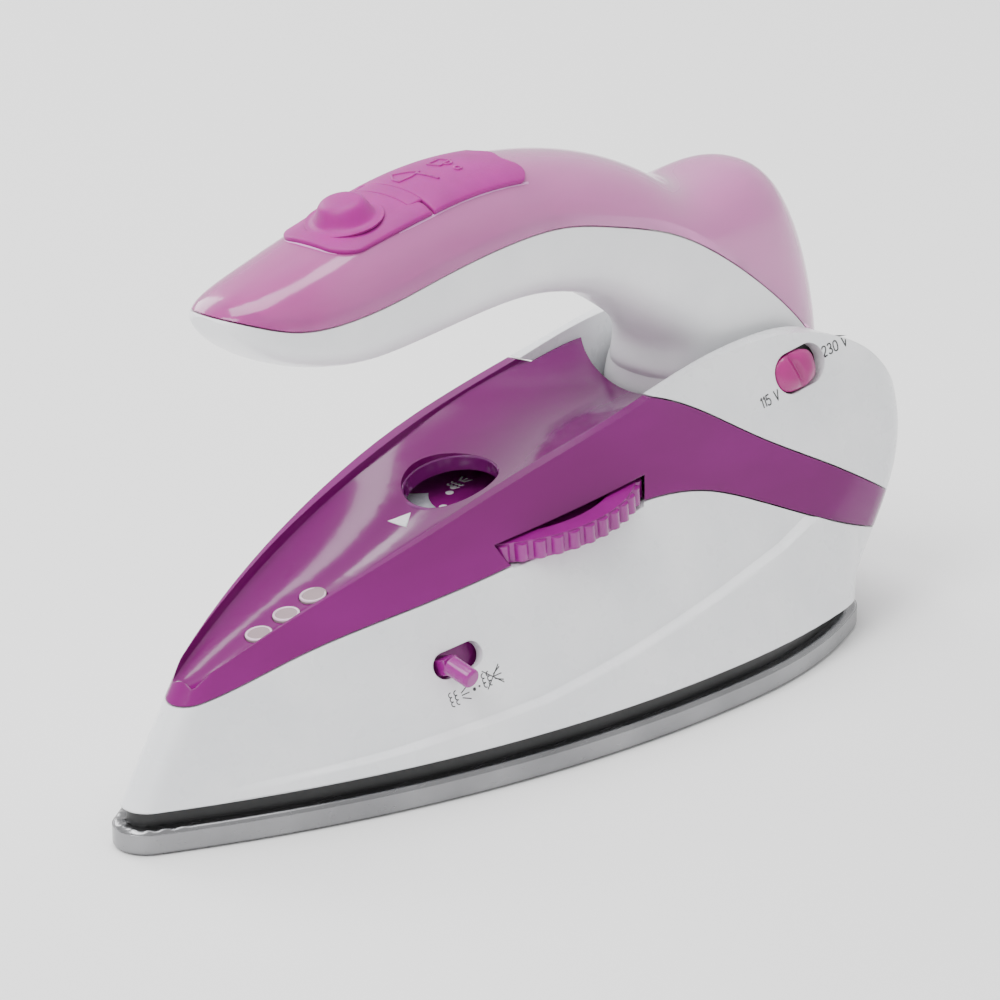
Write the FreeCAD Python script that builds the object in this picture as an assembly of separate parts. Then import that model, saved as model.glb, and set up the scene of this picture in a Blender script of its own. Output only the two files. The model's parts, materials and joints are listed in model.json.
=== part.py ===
import FreeCAD, Part
import math
import os

os.makedirs("parts", exist_ok=True)

# Travel steam iron with a folding water-tank handle.  Millimetres, +Z up.
# Origin: underside of the sole, middle of its length.  Nose at -X, heel at +X.

# ---------------------------------------------------------------- sizes
SOLE_LENGTH = 180.0
SOLE_WIDTH = 80.7
SOLE_NOSE_RADIUS = 6.3
SOLE_WAIST_X = 43.0
SOLE_REAR_ARC = 100.0
SOLE_HEEL_CORNER = 12.7
SKIN_HEIGHT = 4.0
SKIN_SHEET = 0.9
CASTING_TOP = 6.0
SHIELD_TOP = 7.6
SHIELD_SETBACK = 2.6
STEAM_HOLE = 2.2
WALL = 2.2
SEAM = 0.3
SLIP = 0.3
PRESS = 0.05
NOSE_ROUND = 5.0
DIAL_RADIUS = 28.3
DIAL_X = 10.0
DIAL_Z = 41.3
DIAL_TILT = 6.0
DIAL_THICK = 4.0
DIAL_RIBS = 48
SPINDLE_RADIUS = 2.5
WINDOW_X = -2.4
WINDOW_RADIUS = 9.4
WINDOW_TILT = 14.5
PIVOT_X = 70.0
PIVOT_Z = 49.0
DRUM_RADIUS = 17.5
DRUM_HALF_LENGTH = 14.4
DRUM_ROUNDING = 10.0
FOLD_ROOM = 1.8
PIN_RADIUS = 4.0
PIN_BORE = 2.2
WING_INNER = 15.8
LENS_RADIUS = 2.7
LENS_XS = (-54.3, -47.1, -40.0)
VOLT_X = 75.0
VOLT_Z = 55.0
VOLT_RISE = 10.0
VOLT_POCKET = (13.4, 8.2, 3.0)
VOLT_KNOB = (10.4, 7.4)
VOLT_TRAVEL = 2.2
LEVER_X = -25.4
LEVER_Z = 23.8
LEVER_SLOT = (11.0, 5.0)
LEVER_RISE = 9.0
LEVER_TRAVEL = 5.6
PEG_RADIUS = 1.9
HANDLE_WALL = 1.8
PAD_THICK = 1.2
BUTTON_X = -30.5
BUTTON_RADIUS = 5.4
BUTTON_RISE = 3.6
PUMP_STROKE = 2.6
FLAP_HINGE_X = -19.0
FILLER_X = -4.0
FILLER_RADIUS = 5.0
GLAND_RADIUS = 4.5

# Body plan at rising levels: z, nose x, waist x, waist half width,
# rear x, rear half width, rear slope, heel x.
LEVELS = (
    (7.6, -88.3, 43.0, 38.3, 76.0, 34.2, -0.22, 87.0),
    (20.0, -79.8, 45.0, 33.6, 85.0, 31.8, -0.10, 98.0),
    (34.0, -70.1, 47.0, 28.2, 93.0, 29.4, 0.05, 108.5),
    (48.0, -60.4, 44.0, 22.4, 92.0, 26.8, 0.16, 109.0),
    (66.0, -48.0, 34.0, 15.9, 88.0, 21.8, 0.24, 107.0),
)
# Side outline of the rims and shoulders, nose to heel (x, z).
RIM = ((-93.0, 19.0), (-84.0, 23.5), (-76.0, 27.6), (-60.0, 34.7), (-30.0, 44.6), (0.0, 52.3),
       (34.0, 58.3), (50.0, 61.1), (66.0, 62.2), (80.0, 61.0), (91.0, 56.6),
       (102.0, 46.5), (112.0, 35.0))
# Lower seam of the see-through cover (x, z).
LOWER_SEAM = ((-90.0, 24.0), (-75.0, 24.7), (-55.0, 30.2), (-34.0, 33.9),
              (-4.0, 38.0), (25.5, 41.3), (42.2, 39.2), (54.2, 34.6),
              (74.0, 25.6), (98.0, 17.0), (112.0, 13.0))
# Upper seam between cover and shoulders (x, z).
UPPER_SEAM = ((34.2, 58.6), (44.5, 54.4), (60.0, 45.2), (79.0, 35.0),
              (98.0, 24.0), (112.0, 16.0))
# Dish between the rims: x, z of the middle, half width, z at the edge.
DISH = ((-74.0, 26.6, 2.6, 27.6), (-66.0, 28.4, 5.4, 30.2), (-54.3, 31.4, 8.2, 34.6),
        (-40.0, 34.7, 11.2, 39.4), (-20.0, 41.4, 13.8, 45.6), (-2.4, 47.3, 15.2, 50.2),
        (18.0, 50.8, 16.3, 54.8), (34.0, 51.4, 16.2, 57.2), (52.0, 51.0, 17.0, 60.6),
        (72.0, 51.0, 17.0, 61.5))
# Handle stations: underside x, z; top x, z; half width; seam height share;
# fullness of the underside and of the top.
STATIONS = (
    (-63.6, 90.6, -66.0, 94.8, 4.6, 0.50, 0.60, 0.60),
    (-60.0, 87.4, -62.4, 97.0, 8.4, 0.50, 0.66, 0.66),
    (-52.0, 83.4, -51.6, 99.8, 11.8, 0.46, 0.70, 0.70),
    (-40.0, 80.4, -38.0, 103.0, 13.8, 0.46, 0.72, 0.70),
    (-20.0, 80.0, -17.0, 107.7, 14.5, 0.48, 0.72, 0.66),
    (4.0, 81.2, 7.0, 108.6, 14.6, 0.52, 0.70, 0.64),
    (18.0, 80.2, 27.5, 105.6, 14.6, 0.50, 0.70, 0.64),
    (31.0, 76.8, 45.0, 99.6, 14.6, 0.50, 0.72, 0.64),
    (40.5, 72.0, 60.0, 93.2, 14.4, 0.46, 0.74, 0.64),
    (48.6, 66.6, 74.0, 93.8, 14.2, 0.42, 0.76, 0.66),
    (53.6, 60.5, 90.2, 84.4, 14.0, 0.50, 0.80, 0.66),
    (56.0, 52.4, 98.8, 54.4, 14.0, 0.50, 0.84, 0.66),
)
# Seam between the white grip and the tank (x, z).
GRIP_SEAM = ((-75.0, 96.6), (-66.0, 95.4), (-55.0, 92.0), (-41.6, 91.6), (-20.6, 94.5),
             (1.2, 96.7), (13.6, 96.3), (27.4, 93.3), (46.3, 87.3), (63.9, 77.6),
             (77.2, 68.0), (90.0, 57.0), (112.0, 36.0))


# ---------------------------------------------------------------- helpers
def vec(x, y, z):
    return FreeCAD.Vector(x, y, z)


def save(shape, name):
    shape.exportStep("parts/" + name + ".step")


def cyl(radius, height, base, axis=(0, 0, 1)):
    return Part.makeCylinder(radius, height, vec(*base), vec(*axis))


def tube(outer, inner, height, base, axis=(0, 0, 1)):
    ring = cyl(outer, height, base, axis)
    return ring.cut(cyl(inner, height, base, axis))


def block(x0, x1, y0, y1, z0, z1):
    return Part.makeBox(x1 - x0, y1 - y0, z1 - z0, vec(x0, y0, z0))


def bezier(points):
    curve = Part.BezierCurve()
    curve.setPoles([vec(*p) for p in points])
    return curve.toShape()


def spline(points):
    curve = Part.BSplineCurve()
    curve.interpolate([vec(*p) for p in points])
    return curve.toShape()


def flipped(shape):
    return shape.mirror(vec(0, 0, 0), vec(0, 1, 0))


def side_solid(points, far_z, half_width=60.0):
    """Solid between a side curve and the flat level far_z."""
    flat = [(x, -half_width, z) for x, z in points]
    first = flat[0]
    last = flat[-1]
    low_first = (first[0], -half_width, far_z)
    low_last = (last[0], -half_width, far_z)
    edges = [spline(flat)]
    edges.append(Part.makeLine(vec(*last), vec(*low_last)))
    edges.append(Part.makeLine(vec(*low_last), vec(*low_first)))
    edges.append(Part.makeLine(vec(*low_first), vec(*first)))
    face = Part.Face(Part.Wire(edges))
    return face.extrude(vec(0, 2 * half_width, 0))


def lifted(points, rise):
    return [(x, z + rise) for x, z in points]


# ---------------------------------------------------------------- plans
def sole_outline(inset, z):
    """Iron-shaped plan of tangent arcs, drawn inset from the sole edge."""
    half = SOLE_WIDTH / 2 - inset
    nose_x = -SOLE_LENGTH / 2 + inset
    heel_x = SOLE_LENGTH / 2 - inset
    nose_r = max(SOLE_NOSE_RADIUS - inset, 1.0)
    corner_r = max(SOLE_HEEL_CORNER - inset, 2.0)
    reach = SOLE_WAIST_X - nose_x - nose_r
    side_r = (reach ** 2 + half ** 2 - nose_r ** 2) / (2 * (half - nose_r))
    side_c = vec(SOLE_WAIST_X, half - side_r, z)
    nose_c = vec(nose_x + nose_r, 0, z)
    out = (nose_c - side_c).normalize()
    touch = nose_c + out * nose_r
    rear_r = SOLE_REAR_ARC - inset
    rear_c = vec(SOLE_WAIST_X, half - rear_r, z)
    corner_x = heel_x - corner_r
    drop = math.sqrt((rear_r - corner_r) ** 2 - (corner_x - SOLE_WAIST_X) ** 2)
    corner_c = vec(corner_x, rear_c.y + drop, z)
    away = (corner_c - rear_c).normalize()
    turn = corner_c + away * corner_r
    mid_side = side_c + ((touch + vec(SOLE_WAIST_X, half, z)) * 0.5 - side_c).normalize() * side_r
    mid_rear = rear_c + ((turn + vec(SOLE_WAIST_X, half, z)) * 0.5 - rear_c).normalize() * rear_r
    heel_top = vec(heel_x, corner_c.y, z)
    mid_corner = corner_c + ((turn + heel_top) * 0.5 - corner_c).normalize() * corner_r
    waist = vec(SOLE_WAIST_X, half, z)
    low = [vec(p.x, -p.y, p.z) for p in (touch, mid_side, waist, mid_rear, turn, mid_corner, heel_top)]
    edges = [
        Part.Arc(low[0], vec(nose_x, 0, z), touch).toShape(),
        Part.Arc(touch, mid_side, waist).toShape(),
        Part.Arc(waist, mid_rear, turn).toShape(),
        Part.Arc(turn, mid_corner, heel_top).toShape(),
        Part.makeLine(heel_top, low[6]),
        Part.Arc(low[6], low[5], low[4]).toShape(),
        Part.Arc(low[4], low[3], low[2]).toShape(),
        Part.Arc(low[2], low[1], low[0]).toShape(),
    ]
    return Part.Wire(edges)


def sole_slab(inset, z0, z1):
    return Part.Face(sole_outline(inset, z0)).extrude(vec(0, 0, z1 - z0))


def body_outline(level, inset):
    """Closed plan wire of the housing wall at one level."""
    z, nose, waist_x, waist, rear_x, rear, slope, heel = level
    nose += inset * 1.5
    waist -= inset
    rear -= inset
    heel -= inset
    nose_r = NOSE_ROUND - inset * 0.7
    reach = waist_x - nose - nose_r
    side_r = (reach ** 2 + waist ** 2 - nose_r ** 2) / (2 * (waist - nose_r))
    side_c = vec(waist_x, waist - side_r, z)
    nose_c = vec(nose + nose_r, 0, z)
    out = (nose_c - side_c).normalize()
    touch = nose_c + out * nose_r
    mid = side_c + ((touch + vec(waist_x, waist, z)) * 0.5 - side_c).normalize() * side_r
    third = (rear_x - waist_x) / 3
    corner = heel - rear_x
    heel_half = rear - corner * 0.9

    def half(sign):
        run = Part.Arc(vec(touch.x, sign * touch.y, z), vec(mid.x, sign * mid.y, z),
                       vec(waist_x, sign * waist, z)).toShape()
        back = bezier([(waist_x, sign * waist, z), (waist_x + third, sign * waist, z),
                       (rear_x - third, sign * (rear - slope * third), z),
                       (rear_x, sign * rear, z)])
        bend = bezier([(rear_x, sign * rear, z),
                       (rear_x + corner * 0.62, sign * (rear + slope * corner * 0.62), z),
                       (heel - 1.2, sign * (heel_half + corner * 0.45), z),
                       (heel - 1.0, sign * heel_half, z)])
        shut = bezier([(heel - 1.0, sign * heel_half, z),
                       (heel - 0.7, sign * heel_half * 0.6, z),
                       (heel, sign * heel_half * 0.3, z), (heel, 0, z)])
        return [run, back, bend, shut]

    tip = Part.Arc(vec(touch.x, -touch.y, z), vec(nose, 0, z), touch).toShape()
    return Part.Wire([tip] + half(1) + half(-1)[::-1])


def body_loft(inset, levels=LEVELS):
    return Part.makeLoft([body_outline(level, inset) for level in levels], True, False)


def dish_cutter(drop=0.0):
    """Concave trough between the rims of the cover."""
    wires = []
    for x, mid, half, edge in DISH:
        z_mid = mid - drop
        z_edge = edge - drop
        top = z_edge + 16.0 + drop
        left = vec(x, -half, z_edge)
        right = vec(x, half, z_edge)
        edges = [
            Part.Arc(left, vec(x, 0, z_mid), right).toShape(),
            Part.makeLine(right, vec(x, half, top)),
            Part.makeLine(vec(x, half, top), vec(x, -half, top)),
            Part.makeLine(vec(x, -half, top), left),
        ]
        wires.append(Part.Wire(edges))
    return Part.makeLoft(wires, True, False)


def barrel(radius, half_length, rounding):
    """Round drum about the fold axis with softly rounded ends."""
    z = PIVOT_Z
    flat = half_length - rounding
    edges = [
        Part.makeLine(vec(PIVOT_X, -half_length, z), vec(PIVOT_X, half_length, z)),
        Part.makeLine(vec(PIVOT_X, half_length, z), vec(PIVOT_X, half_length, z + radius - rounding)),
        Part.Arc(vec(PIVOT_X, half_length, z + radius - rounding),
                 vec(PIVOT_X, flat + rounding * 0.7071, z + radius - rounding * 0.2929),
                 vec(PIVOT_X, flat, z + radius)).toShape(),
        Part.makeLine(vec(PIVOT_X, flat, z + radius), vec(PIVOT_X, -flat, z + radius)),
        Part.Arc(vec(PIVOT_X, -flat, z + radius),
                 vec(PIVOT_X, -flat - rounding * 0.7071, z + radius - rounding * 0.2929),
                 vec(PIVOT_X, -half_length, z + radius - rounding)).toShape(),
        Part.makeLine(vec(PIVOT_X, -half_length, z + radius - rounding), vec(PIVOT_X, -half_length, z)),
    ]
    face = Part.Face(Part.Wire(edges))
    return face.revolve(vec(PIVOT_X, 0, z), vec(0, 1, 0), 360)


def station_wire(station, inset):
    """Closed handle cross-section spanning an underside and a top point."""
    bx, bz, tx, tz, half, share, full_low, full_top = station
    run = vec(tx - bx, 0, tz - bz)
    length = run.Length
    up = run * (1 / length)
    base = vec(bx, 0, bz) + up * inset
    length -= 2 * inset
    half -= inset
    seam = length * share

    def at(y, rise):
        return base + up * rise + vec(0, y, 0)

    def arc(poles):
        curve = Part.BezierCurve()
        curve.setPoles(poles)
        return curve.toShape()

    return Part.Wire([
        arc([at(0, 0), at(full_low * half, 0), at(half, seam * (1 - full_low)), at(half, seam)]),
        arc([at(half, seam), at(half, seam + full_top * (length - seam)),
             at(full_top * half, length), at(0, length)]),
        arc([at(0, length), at(-full_top * half, length),
             at(-half, seam + full_top * (length - seam)), at(-half, seam)]),
        arc([at(-half, seam), at(-half, seam * (1 - full_low)), at(-full_low * half, 0), at(0, 0)]),
    ])


def handle_loft(inset, stations=STATIONS):
    return Part.makeLoft([station_wire(s, inset) for s in stations], True, False)


def wall_point(solid, x, z, sign=-1):
    """Point of the outer wall at the given x and z."""
    probe = Part.makeLine(vec(x, 0, z), vec(x, sign * 60, z))
    inside = probe.common(solid)
    ys = [sign * v.Point.y for v in inside.Vertexes]
    return vec(x, sign * max(ys), z)


def wall_frame(solid, x, z, rise_deg):
    """Origin, run along the wall, outward normal at a wall point."""
    step = 1.5
    here = wall_point(solid, x, z)
    along = wall_point(solid, x + step, z) - wall_point(solid, x - step, z)
    over = wall_point(solid, x, z + step) - wall_point(solid, x, z - step)
    normal = along.cross(over).normalize()
    if normal.y > 0:
        normal = normal * -1
    run = along.normalize() * math.cos(math.radians(rise_deg))
    run = run + over.normalize() * math.sin(math.radians(rise_deg))
    run = (run - normal * run.dot(normal)).normalize()
    return here, run, normal


def stadium(frame, length, width, depth_in, depth_out):
    """Round-ended block lying in the wall frame."""
    here, run, normal = frame
    side = normal.cross(run)
    radius = width / 2
    reach = length / 2 - radius
    start = here - normal * depth_in
    a = start - run * reach
    b = start + run * reach
    edges = [
        Part.makeLine(a + side * radius, b + side * radius),
        Part.Arc(b + side * radius, b + run * radius, b - side * radius).toShape(),
        Part.makeLine(b - side * radius, a - side * radius),
        Part.Arc(a - side * radius, a - run * radius, a + side * radius).toShape(),
    ]
    return Part.Face(Part.Wire(edges)).extrude(normal * (depth_in + depth_out))


# ---------------------------------------------------------------- sole group
def steam_holes():
    """Steam holes: a V behind the nose and two rows under the chamber."""
    spots = []
    for i in range(3):
        x = -64.0 + i * 3.6
        y = 1.8 + i * 1.5
        spots.append((x, y))
        spots.append((x, -y))
    for i in range(5):
        x = -23.5 + i * 6.0
        spots.append((x, 6.0))
        spots.append((x, -6.0))
    return spots


def make_skin():
    shell = sole_slab(0, 0, SKIN_HEIGHT).cut(sole_slab(SKIN_SHEET, SKIN_SHEET, SKIN_HEIGHT))
    low = [e for e in shell.Edges if e.BoundBox.ZMax < 0.01]
    shell = shell.makeFillet(0.8, low)
    for x, y in steam_holes():
        shell = shell.cut(cyl(STEAM_HOLE / 2, SKIN_SHEET * 3, (x, y, -SKIN_SHEET)))
    return shell


ELEMENT_Z = 4.5
ELEMENT_RADIUS = 3.0
ELEMENT_LEG = ((70.0, 22.4), (48.0, 24.0), (20.0, 22.6), (-12.0, 17.4), (-38.0, 10.4))
ELEMENT_NOSE = ((-50.0, 0.0),)
ELEMENT_POINTS = ELEMENT_LEG + ELEMENT_NOSE + tuple((x, -y) for x, y in ELEMENT_LEG[::-1])


def element_rod(radius):
    path = Part.Wire([spline([(x, y, ELEMENT_Z) for x, y in ELEMENT_POINTS])])
    start = ELEMENT_POINTS[0]
    ring = Part.makeCircle(radius, vec(start[0], start[1], ELEMENT_Z), path.Edges[0].tangentAt(
        path.Edges[0].FirstParameter))
    return path.makePipeShell([Part.Wire([ring])], True, True)


CHAMBER = (-26.5, 2.0, 8.0)
SCREW_SPOTS = ((-76.5, 0.0), (60.0, 31.2), (60.0, -31.2))
SCREW_RADIUS = 1.5


def make_casting():
    slab = sole_slab(SKIN_SHEET + 0.1, SKIN_SHEET, SKIN_HEIGHT)
    pad = sole_slab(10.0, SKIN_HEIGHT, CASTING_TOP)
    body = slab.fuse(pad).cut(element_rod(ELEMENT_RADIUS + 0.15))
    x0, x1, half = CHAMBER
    body = body.cut(block(x0, x1, -half, half, 3.0, CASTING_TOP))
    for x, y in steam_holes():
        body = body.cut(cyl(STEAM_HOLE / 2, 9, (x, y, 0.5)))
    for x, y in SCREW_SPOTS:
        body = body.cut(cyl(SCREW_RADIUS + PRESS, 4.0, (x, y, 2.2)))
        body = body.cut(cyl(4.2, 3.0, (x, y, SKIN_HEIGHT)))
    return body


def make_lid():
    x0, x1, half = CHAMBER
    lid = block(x0 - 1.5, x1 + 1.5, -half - 1.5, half + 1.5, CASTING_TOP, CASTING_TOP + 1.2)
    lid = lid.cut(cyl(VALVE_BORE, 3, (VALVE_X, 0, CASTING_TOP - 1)))
    return lid


def make_shield():
    ring = sole_slab(SHIELD_SETBACK, SKIN_HEIGHT, SHIELD_TOP)
    ring = ring.cut(sole_slab(9.0, SKIN_HEIGHT - 1, SHIELD_TOP + 1))
    pads = sole_slab(SHIELD_SETBACK, SKIN_HEIGHT, SHIELD_TOP)
    for x, y in SCREW_SPOTS:
        ring = ring.fuse(cyl(3.8, SHIELD_TOP - SKIN_HEIGHT, (x, y, SKIN_HEIGHT)).common(pads))
    for x, y in SCREW_SPOTS:
        ring = ring.cut(cyl(SCREW_RADIUS + 0.2, 9, (x, y, 3)))
    return ring.removeSplitter()


def make_sole_screws():
    screws = []
    for x, y in SCREW_SPOTS:
        shank = cyl(SCREW_RADIUS, FLOOR_TOP - 2.4, (x, y, 2.4))
        head = cyl(2.5, 2.0, (x, y, FLOOR_TOP))
        slot = block(x - 0.4, x + 0.4, y - 3, y + 3, FLOOR_TOP + 1.2, FLOOR_TOP + 3)
        screws.append(shank.fuse(head).cut(slot))
    return Part.makeCompound(screws)


# ---------------------------------------------------------------- housings
FLOOR_TOP = SHIELD_TOP + 1.8
VALVE_X = -19.0
VALVE_BORE = 1.6


def body_outer():
    return body_loft(0).common(side_solid(RIM, -5.0))


def body_inner():
    hollow = body_loft(WALL * 1.12)
    return hollow.common(side_solid(lifted(RIM, -WALL * 1.6), -5.0))


def dial_axis():
    tilt = math.radians(DIAL_TILT)
    return vec(-math.sin(tilt), 0, math.cos(tilt))


def on_dial(radius, low, high):
    axis = dial_axis()
    base = vec(DIAL_X, 0, DIAL_Z) + axis * low
    return Part.makeCylinder(radius, high - low, base, axis)


def lever_frame(outer):
    return wall_frame(outer, LEVER_X, LEVER_Z, LEVER_RISE)


def volt_frame(outer):
    return wall_frame(outer, VOLT_X, VOLT_Z, VOLT_RISE)


def make_lower_housing(outer, inner):
    low = side_solid(lifted(LOWER_SEAM, -SEAM / 2), -5.0)
    wall = outer.common(low).cut(inner)
    floor = inner.common(block(-100, 120, -50, 50, SHIELD_TOP, FLOOR_TOP))
    floor = floor.cut(sole_slab(12.0, SHIELD_TOP - 1, FLOOR_TOP + 1))
    for x, y in SCREW_SPOTS:
        boss = cyl(3.8, FLOOR_TOP - SHIELD_TOP, (x, y, SHIELD_TOP)).common(inner)
        floor = floor.fuse(boss)
    shell = wall.fuse(floor)
    for x, y in SCREW_SPOTS:
        shell = shell.cut(cyl(SCREW_RADIUS + 0.2, 9, (x, y, SHIELD_TOP - 2)))
    shell = shell.cut(on_dial(DIAL_RADIUS + 0.5, -DIAL_THICK / 2 - 0.5, 12))
    slot = stadium(lever_frame(outer), LEVER_SLOT[0], LEVER_SLOT[1], 6, 6)
    shell = shell.cut(slot)
    return shell


def cover_zone():
    above = side_solid(lifted(LOWER_SEAM, SEAM / 2), 90.0)
    keep_low = side_solid(lifted(UPPER_SEAM, -SEAM / 2), -5.0)
    front = block(-100, UPPER_SEAM[0][0], -60, 60, -5, 90)
    middle = block(UPPER_SEAM[0][0] - 1, PIVOT_X, -WING_INNER + SEAM, WING_INNER - SEAM, 40, 90)
    return above.common(keep_low.fuse(front).fuse(middle))


def window_cut():
    tilt = math.radians(WINDOW_TILT)
    axis = (-math.sin(tilt), 0, math.cos(tilt))
    centre = (WINDOW_X + 12 * math.sin(tilt), 0, 47.3 - 12 * math.cos(tilt))
    return cyl(WINDOW_RADIUS, 30, centre, axis)


def dish_height(x):
    for a, b in zip(DISH, DISH[1:]):
        if a[0] <= x <= b[0]:
            share = (x - a[0]) / (b[0] - a[0])
            return a[1] + share * (b[1] - a[1])
    return DISH[-1][1]


def lens_frame(x):
    rise = dish_height(x + 3) - dish_height(x - 3)
    tilt = math.atan2(rise, 6)
    return vec(x, 0, dish_height(x)), vec(-math.sin(tilt), 0, math.cos(tilt))


def lens_ports(radius, low, high):
    ports = []
    for x in LENS_XS:
        spot, axis = lens_frame(x)
        ports.append(Part.makeCylinder(radius, high - low, spot + axis * low, axis))
    return Part.makeCompound(ports)


def make_cover(outer, inner):
    zone = cover_zone()
    skin = outer.common(zone).cut(dish_cutter())
    cover = skin.cut(inner.cut(dish_cutter(WALL)))
    cover = cover.cut(barrel(DRUM_RADIUS + FOLD_ROOM, DRUM_HALF_LENGTH + 8, 6.0))
    cover = cover.cut(on_dial(DIAL_RADIUS + 0.6, -14, DIAL_THICK / 2 + 0.6))
    cover = cover.cut(window_cut())
    for port in lens_ports(LENS_RADIUS, -6, 6).Solids:
        cover = cover.cut(port)
    spot, axis = lens_frame(LENS_XS[1])
    for y in (LAMP_POST_Y, -LAMP_POST_Y):
        foot = spot - axis * LAMP_DEPTH + vec(0, y, 0)
        cover = cover.fuse(Part.makeCylinder(1.2, LAMP_DEPTH - 1.0, foot, axis))
    return cover


def make_lenses():
    return lens_ports(LENS_RADIUS - 0.12, -2.4, 0.35)


LAMP_DEPTH = 8.0
LAMP_POST_Y = 4.6


def make_lamp_board():
    """Small board under the dish with one lamp below each lens."""
    spot, axis = lens_frame(LENS_XS[1])
    run = vec(axis.z, 0, -axis.x)
    corner = spot - axis * (LAMP_DEPTH + 1.2) - run * 11 + vec(0, -6, 0)
    edges = [corner, corner + run * 22, corner + run * 22 + vec(0, 12, 0), corner + vec(0, 12, 0), corner]
    board = Part.Face(Part.makePolygon(edges)).extrude(axis * 1.2)
    for x in LENS_XS:
        lens, lens_axis = lens_frame(x)
        lamp = Part.makeCylinder(1.5, LAMP_DEPTH - 3.4, lens - lens_axis * (LAMP_DEPTH + 0.4), lens_axis)
        board = board.fuse(lamp)
    return board


def trough():
    """Space between the shoulders in which the handle root swings."""
    swing = barrel(DRUM_RADIUS + 0.6, WING_INNER, 0.5)
    upper = block(30, 120, -WING_INNER, WING_INNER, TROUGH_FLOOR, 90)
    front = block(30, PIVOT_X - 8, -WING_INNER, WING_INNER, 30, 90)
    return swing.fuse(upper).fuse(front)


TROUGH_FLOOR = 51.2
HOLLOW_TOP = 48.6
BUSH_Z = 36.0
BUSH_BORE = 3.2


def volt_block(outer, size, depth_in, depth_out, shift=0.0):
    here, run, normal = volt_frame(outer)
    return stadium((here + run * shift, run, normal), size[0], size[1], depth_in, depth_out)


def make_rear_housing(outer, inner):
    above = side_solid(lifted(UPPER_SEAM, SEAM / 2), 90.0)
    space = trough()
    shoulders = outer.common(above).cut(space)
    low_hollow = inner.common(block(-100, 120, -60, 60, -5, HOLLOW_TOP))
    saddle = barrel(DRUM_RADIUS + 0.6 + WALL, WING_INNER + 1.2, 0.5)
    saddle = saddle.common(block(PIVOT_X - 8, 120, -60, 60, 0, HOLLOW_TOP + 1))
    saddle = saddle.common(above).cut(space)
    shell = shoulders.cut(low_hollow).fuse(saddle)
    shell = shell.cut(volt_block(outer, VOLT_POCKET, VOLT_POCKET[2], 8))
    body = (VOLT_POCKET[0] + 1.6, VOLT_POCKET[1] + 0.4)
    shell = shell.cut(volt_block(outer, body, SWITCH_DEPTH, -VOLT_POCKET[2]))
    reach = WING_INNER + PIN_SEAT
    shell = shell.cut(cyl(PIN_RADIUS + PRESS, 2 * reach, (PIVOT_X, -reach, PIVOT_Z), (0, 1, 0)))
    shell = shell.cut(cyl(GLAND_RADIUS, 24, (96, 0, BUSH_Z), (1, 0, 0)))
    return shell


PIN_SEAT = 2.0
SWITCH_DEPTH = 4.6


def make_switch_body(outer):
    size = (VOLT_POCKET[0] + 1.6 - 2 * PRESS, VOLT_POCKET[1] + 0.4 - 2 * PRESS)
    body = volt_block(outer, size, SWITCH_DEPTH - PRESS, -VOLT_POCKET[2] - PRESS)
    slot = volt_block(outer, (3.0 + VOLT_TRAVEL, 2.4), SWITCH_DEPTH - 0.5, 0)
    return body.cut(slot)


def make_voltage_knob(outer):
    """Domed slider with a thumb groove, parked at the front end."""
    here, run, normal = volt_frame(outer)
    shift = -VOLT_TRAVEL / 2
    centre = here + run * shift
    knob = volt_block(outer, VOLT_KNOB, VOLT_POCKET[2] - SLIP, 1.4, shift)
    dome = Part.makeSphere(7.2)
    dome.translate(centre - normal * 6.0)
    knob = knob.common(dome)
    side = normal.cross(run)
    groove = Part.makeCylinder(0.9, 12, centre + normal * 1.3 - side * 6, side)
    stem = volt_block(outer, (2.0, 1.6), SWITCH_DEPTH - 0.9, 0, shift)
    return knob.cut(groove).fuse(stem)


def make_cord_bush():
    bush = tube(GLAND_RADIUS - PRESS, BUSH_BORE, 14, (98.0, 0, BUSH_Z), (1, 0, 0))
    return bush.fuse(tube(6.4, BUSH_BORE, 1.6, (98.0, 0, BUSH_Z), (1, 0, 0)))


# ---------------------------------------------------------------- pivot group
def make_pivot_pin():
    reach = WING_INNER + PIN_SEAT - 0.4
    pin = tube(PIN_RADIUS, PIN_BORE, 2 * reach, (PIVOT_X, -reach, PIVOT_Z), (0, 1, 0))
    return pin.cut(cyl(FEED_RADIUS, 8, (PIVOT_X, 0, PIVOT_Z)))


def make_washers():
    thick = WING_INNER - DRUM_HALF_LENGTH - 0.2
    ring = tube(6.6, PIN_RADIUS + 0.1, thick, (PIVOT_X, DRUM_HALF_LENGTH + 0.1, PIVOT_Z), (0, 1, 0))
    return Part.makeCompound([ring, flipped(ring)])


FEED_RADIUS = 1.7
FEED_TOP_X = 74.0
FEED_TOP_Z = 67.0


def feed_axis():
    run = vec(FEED_TOP_X - PIVOT_X, 0, FEED_TOP_Z - PIVOT_Z)
    return run.normalize()


def make_handle_feed():
    axis = feed_axis()
    start = vec(PIVOT_X, 0, PIVOT_Z) + axis * (PIN_RADIUS + 0.5)
    length = 16.5
    rod = Part.makeCylinder(FEED_RADIUS, length, start, axis)
    return rod.cut(Part.makeCylinder(FEED_RADIUS - 0.6, length, start, axis))


def make_body_feed():
    """Hose from the pivot down and forward to the steam valve."""
    points = [(PIVOT_X, -19.4, 43.0), (PIVOT_X, -19.8, 32.0), (60.0, -18.8, 22.0), (36.0, -15.0, 18.0),
              (4.0, -11.0, 17.0), (VALVE_X + 10.0, -4.0, 15.0)]
    path = Part.Wire([spline(points)])
    first = path.Edges[0]
    along = first.tangentAt(first.FirstParameter)
    outer = Part.Wire([Part.makeCircle(FEED_RADIUS, vec(*points[0]), along)])
    inner = Part.Wire([Part.makeCircle(FEED_RADIUS - 0.6, vec(*points[0]), along)])
    return path.makePipeShell([outer], True, True).cut(path.makePipeShell([inner], True, True))


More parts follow.
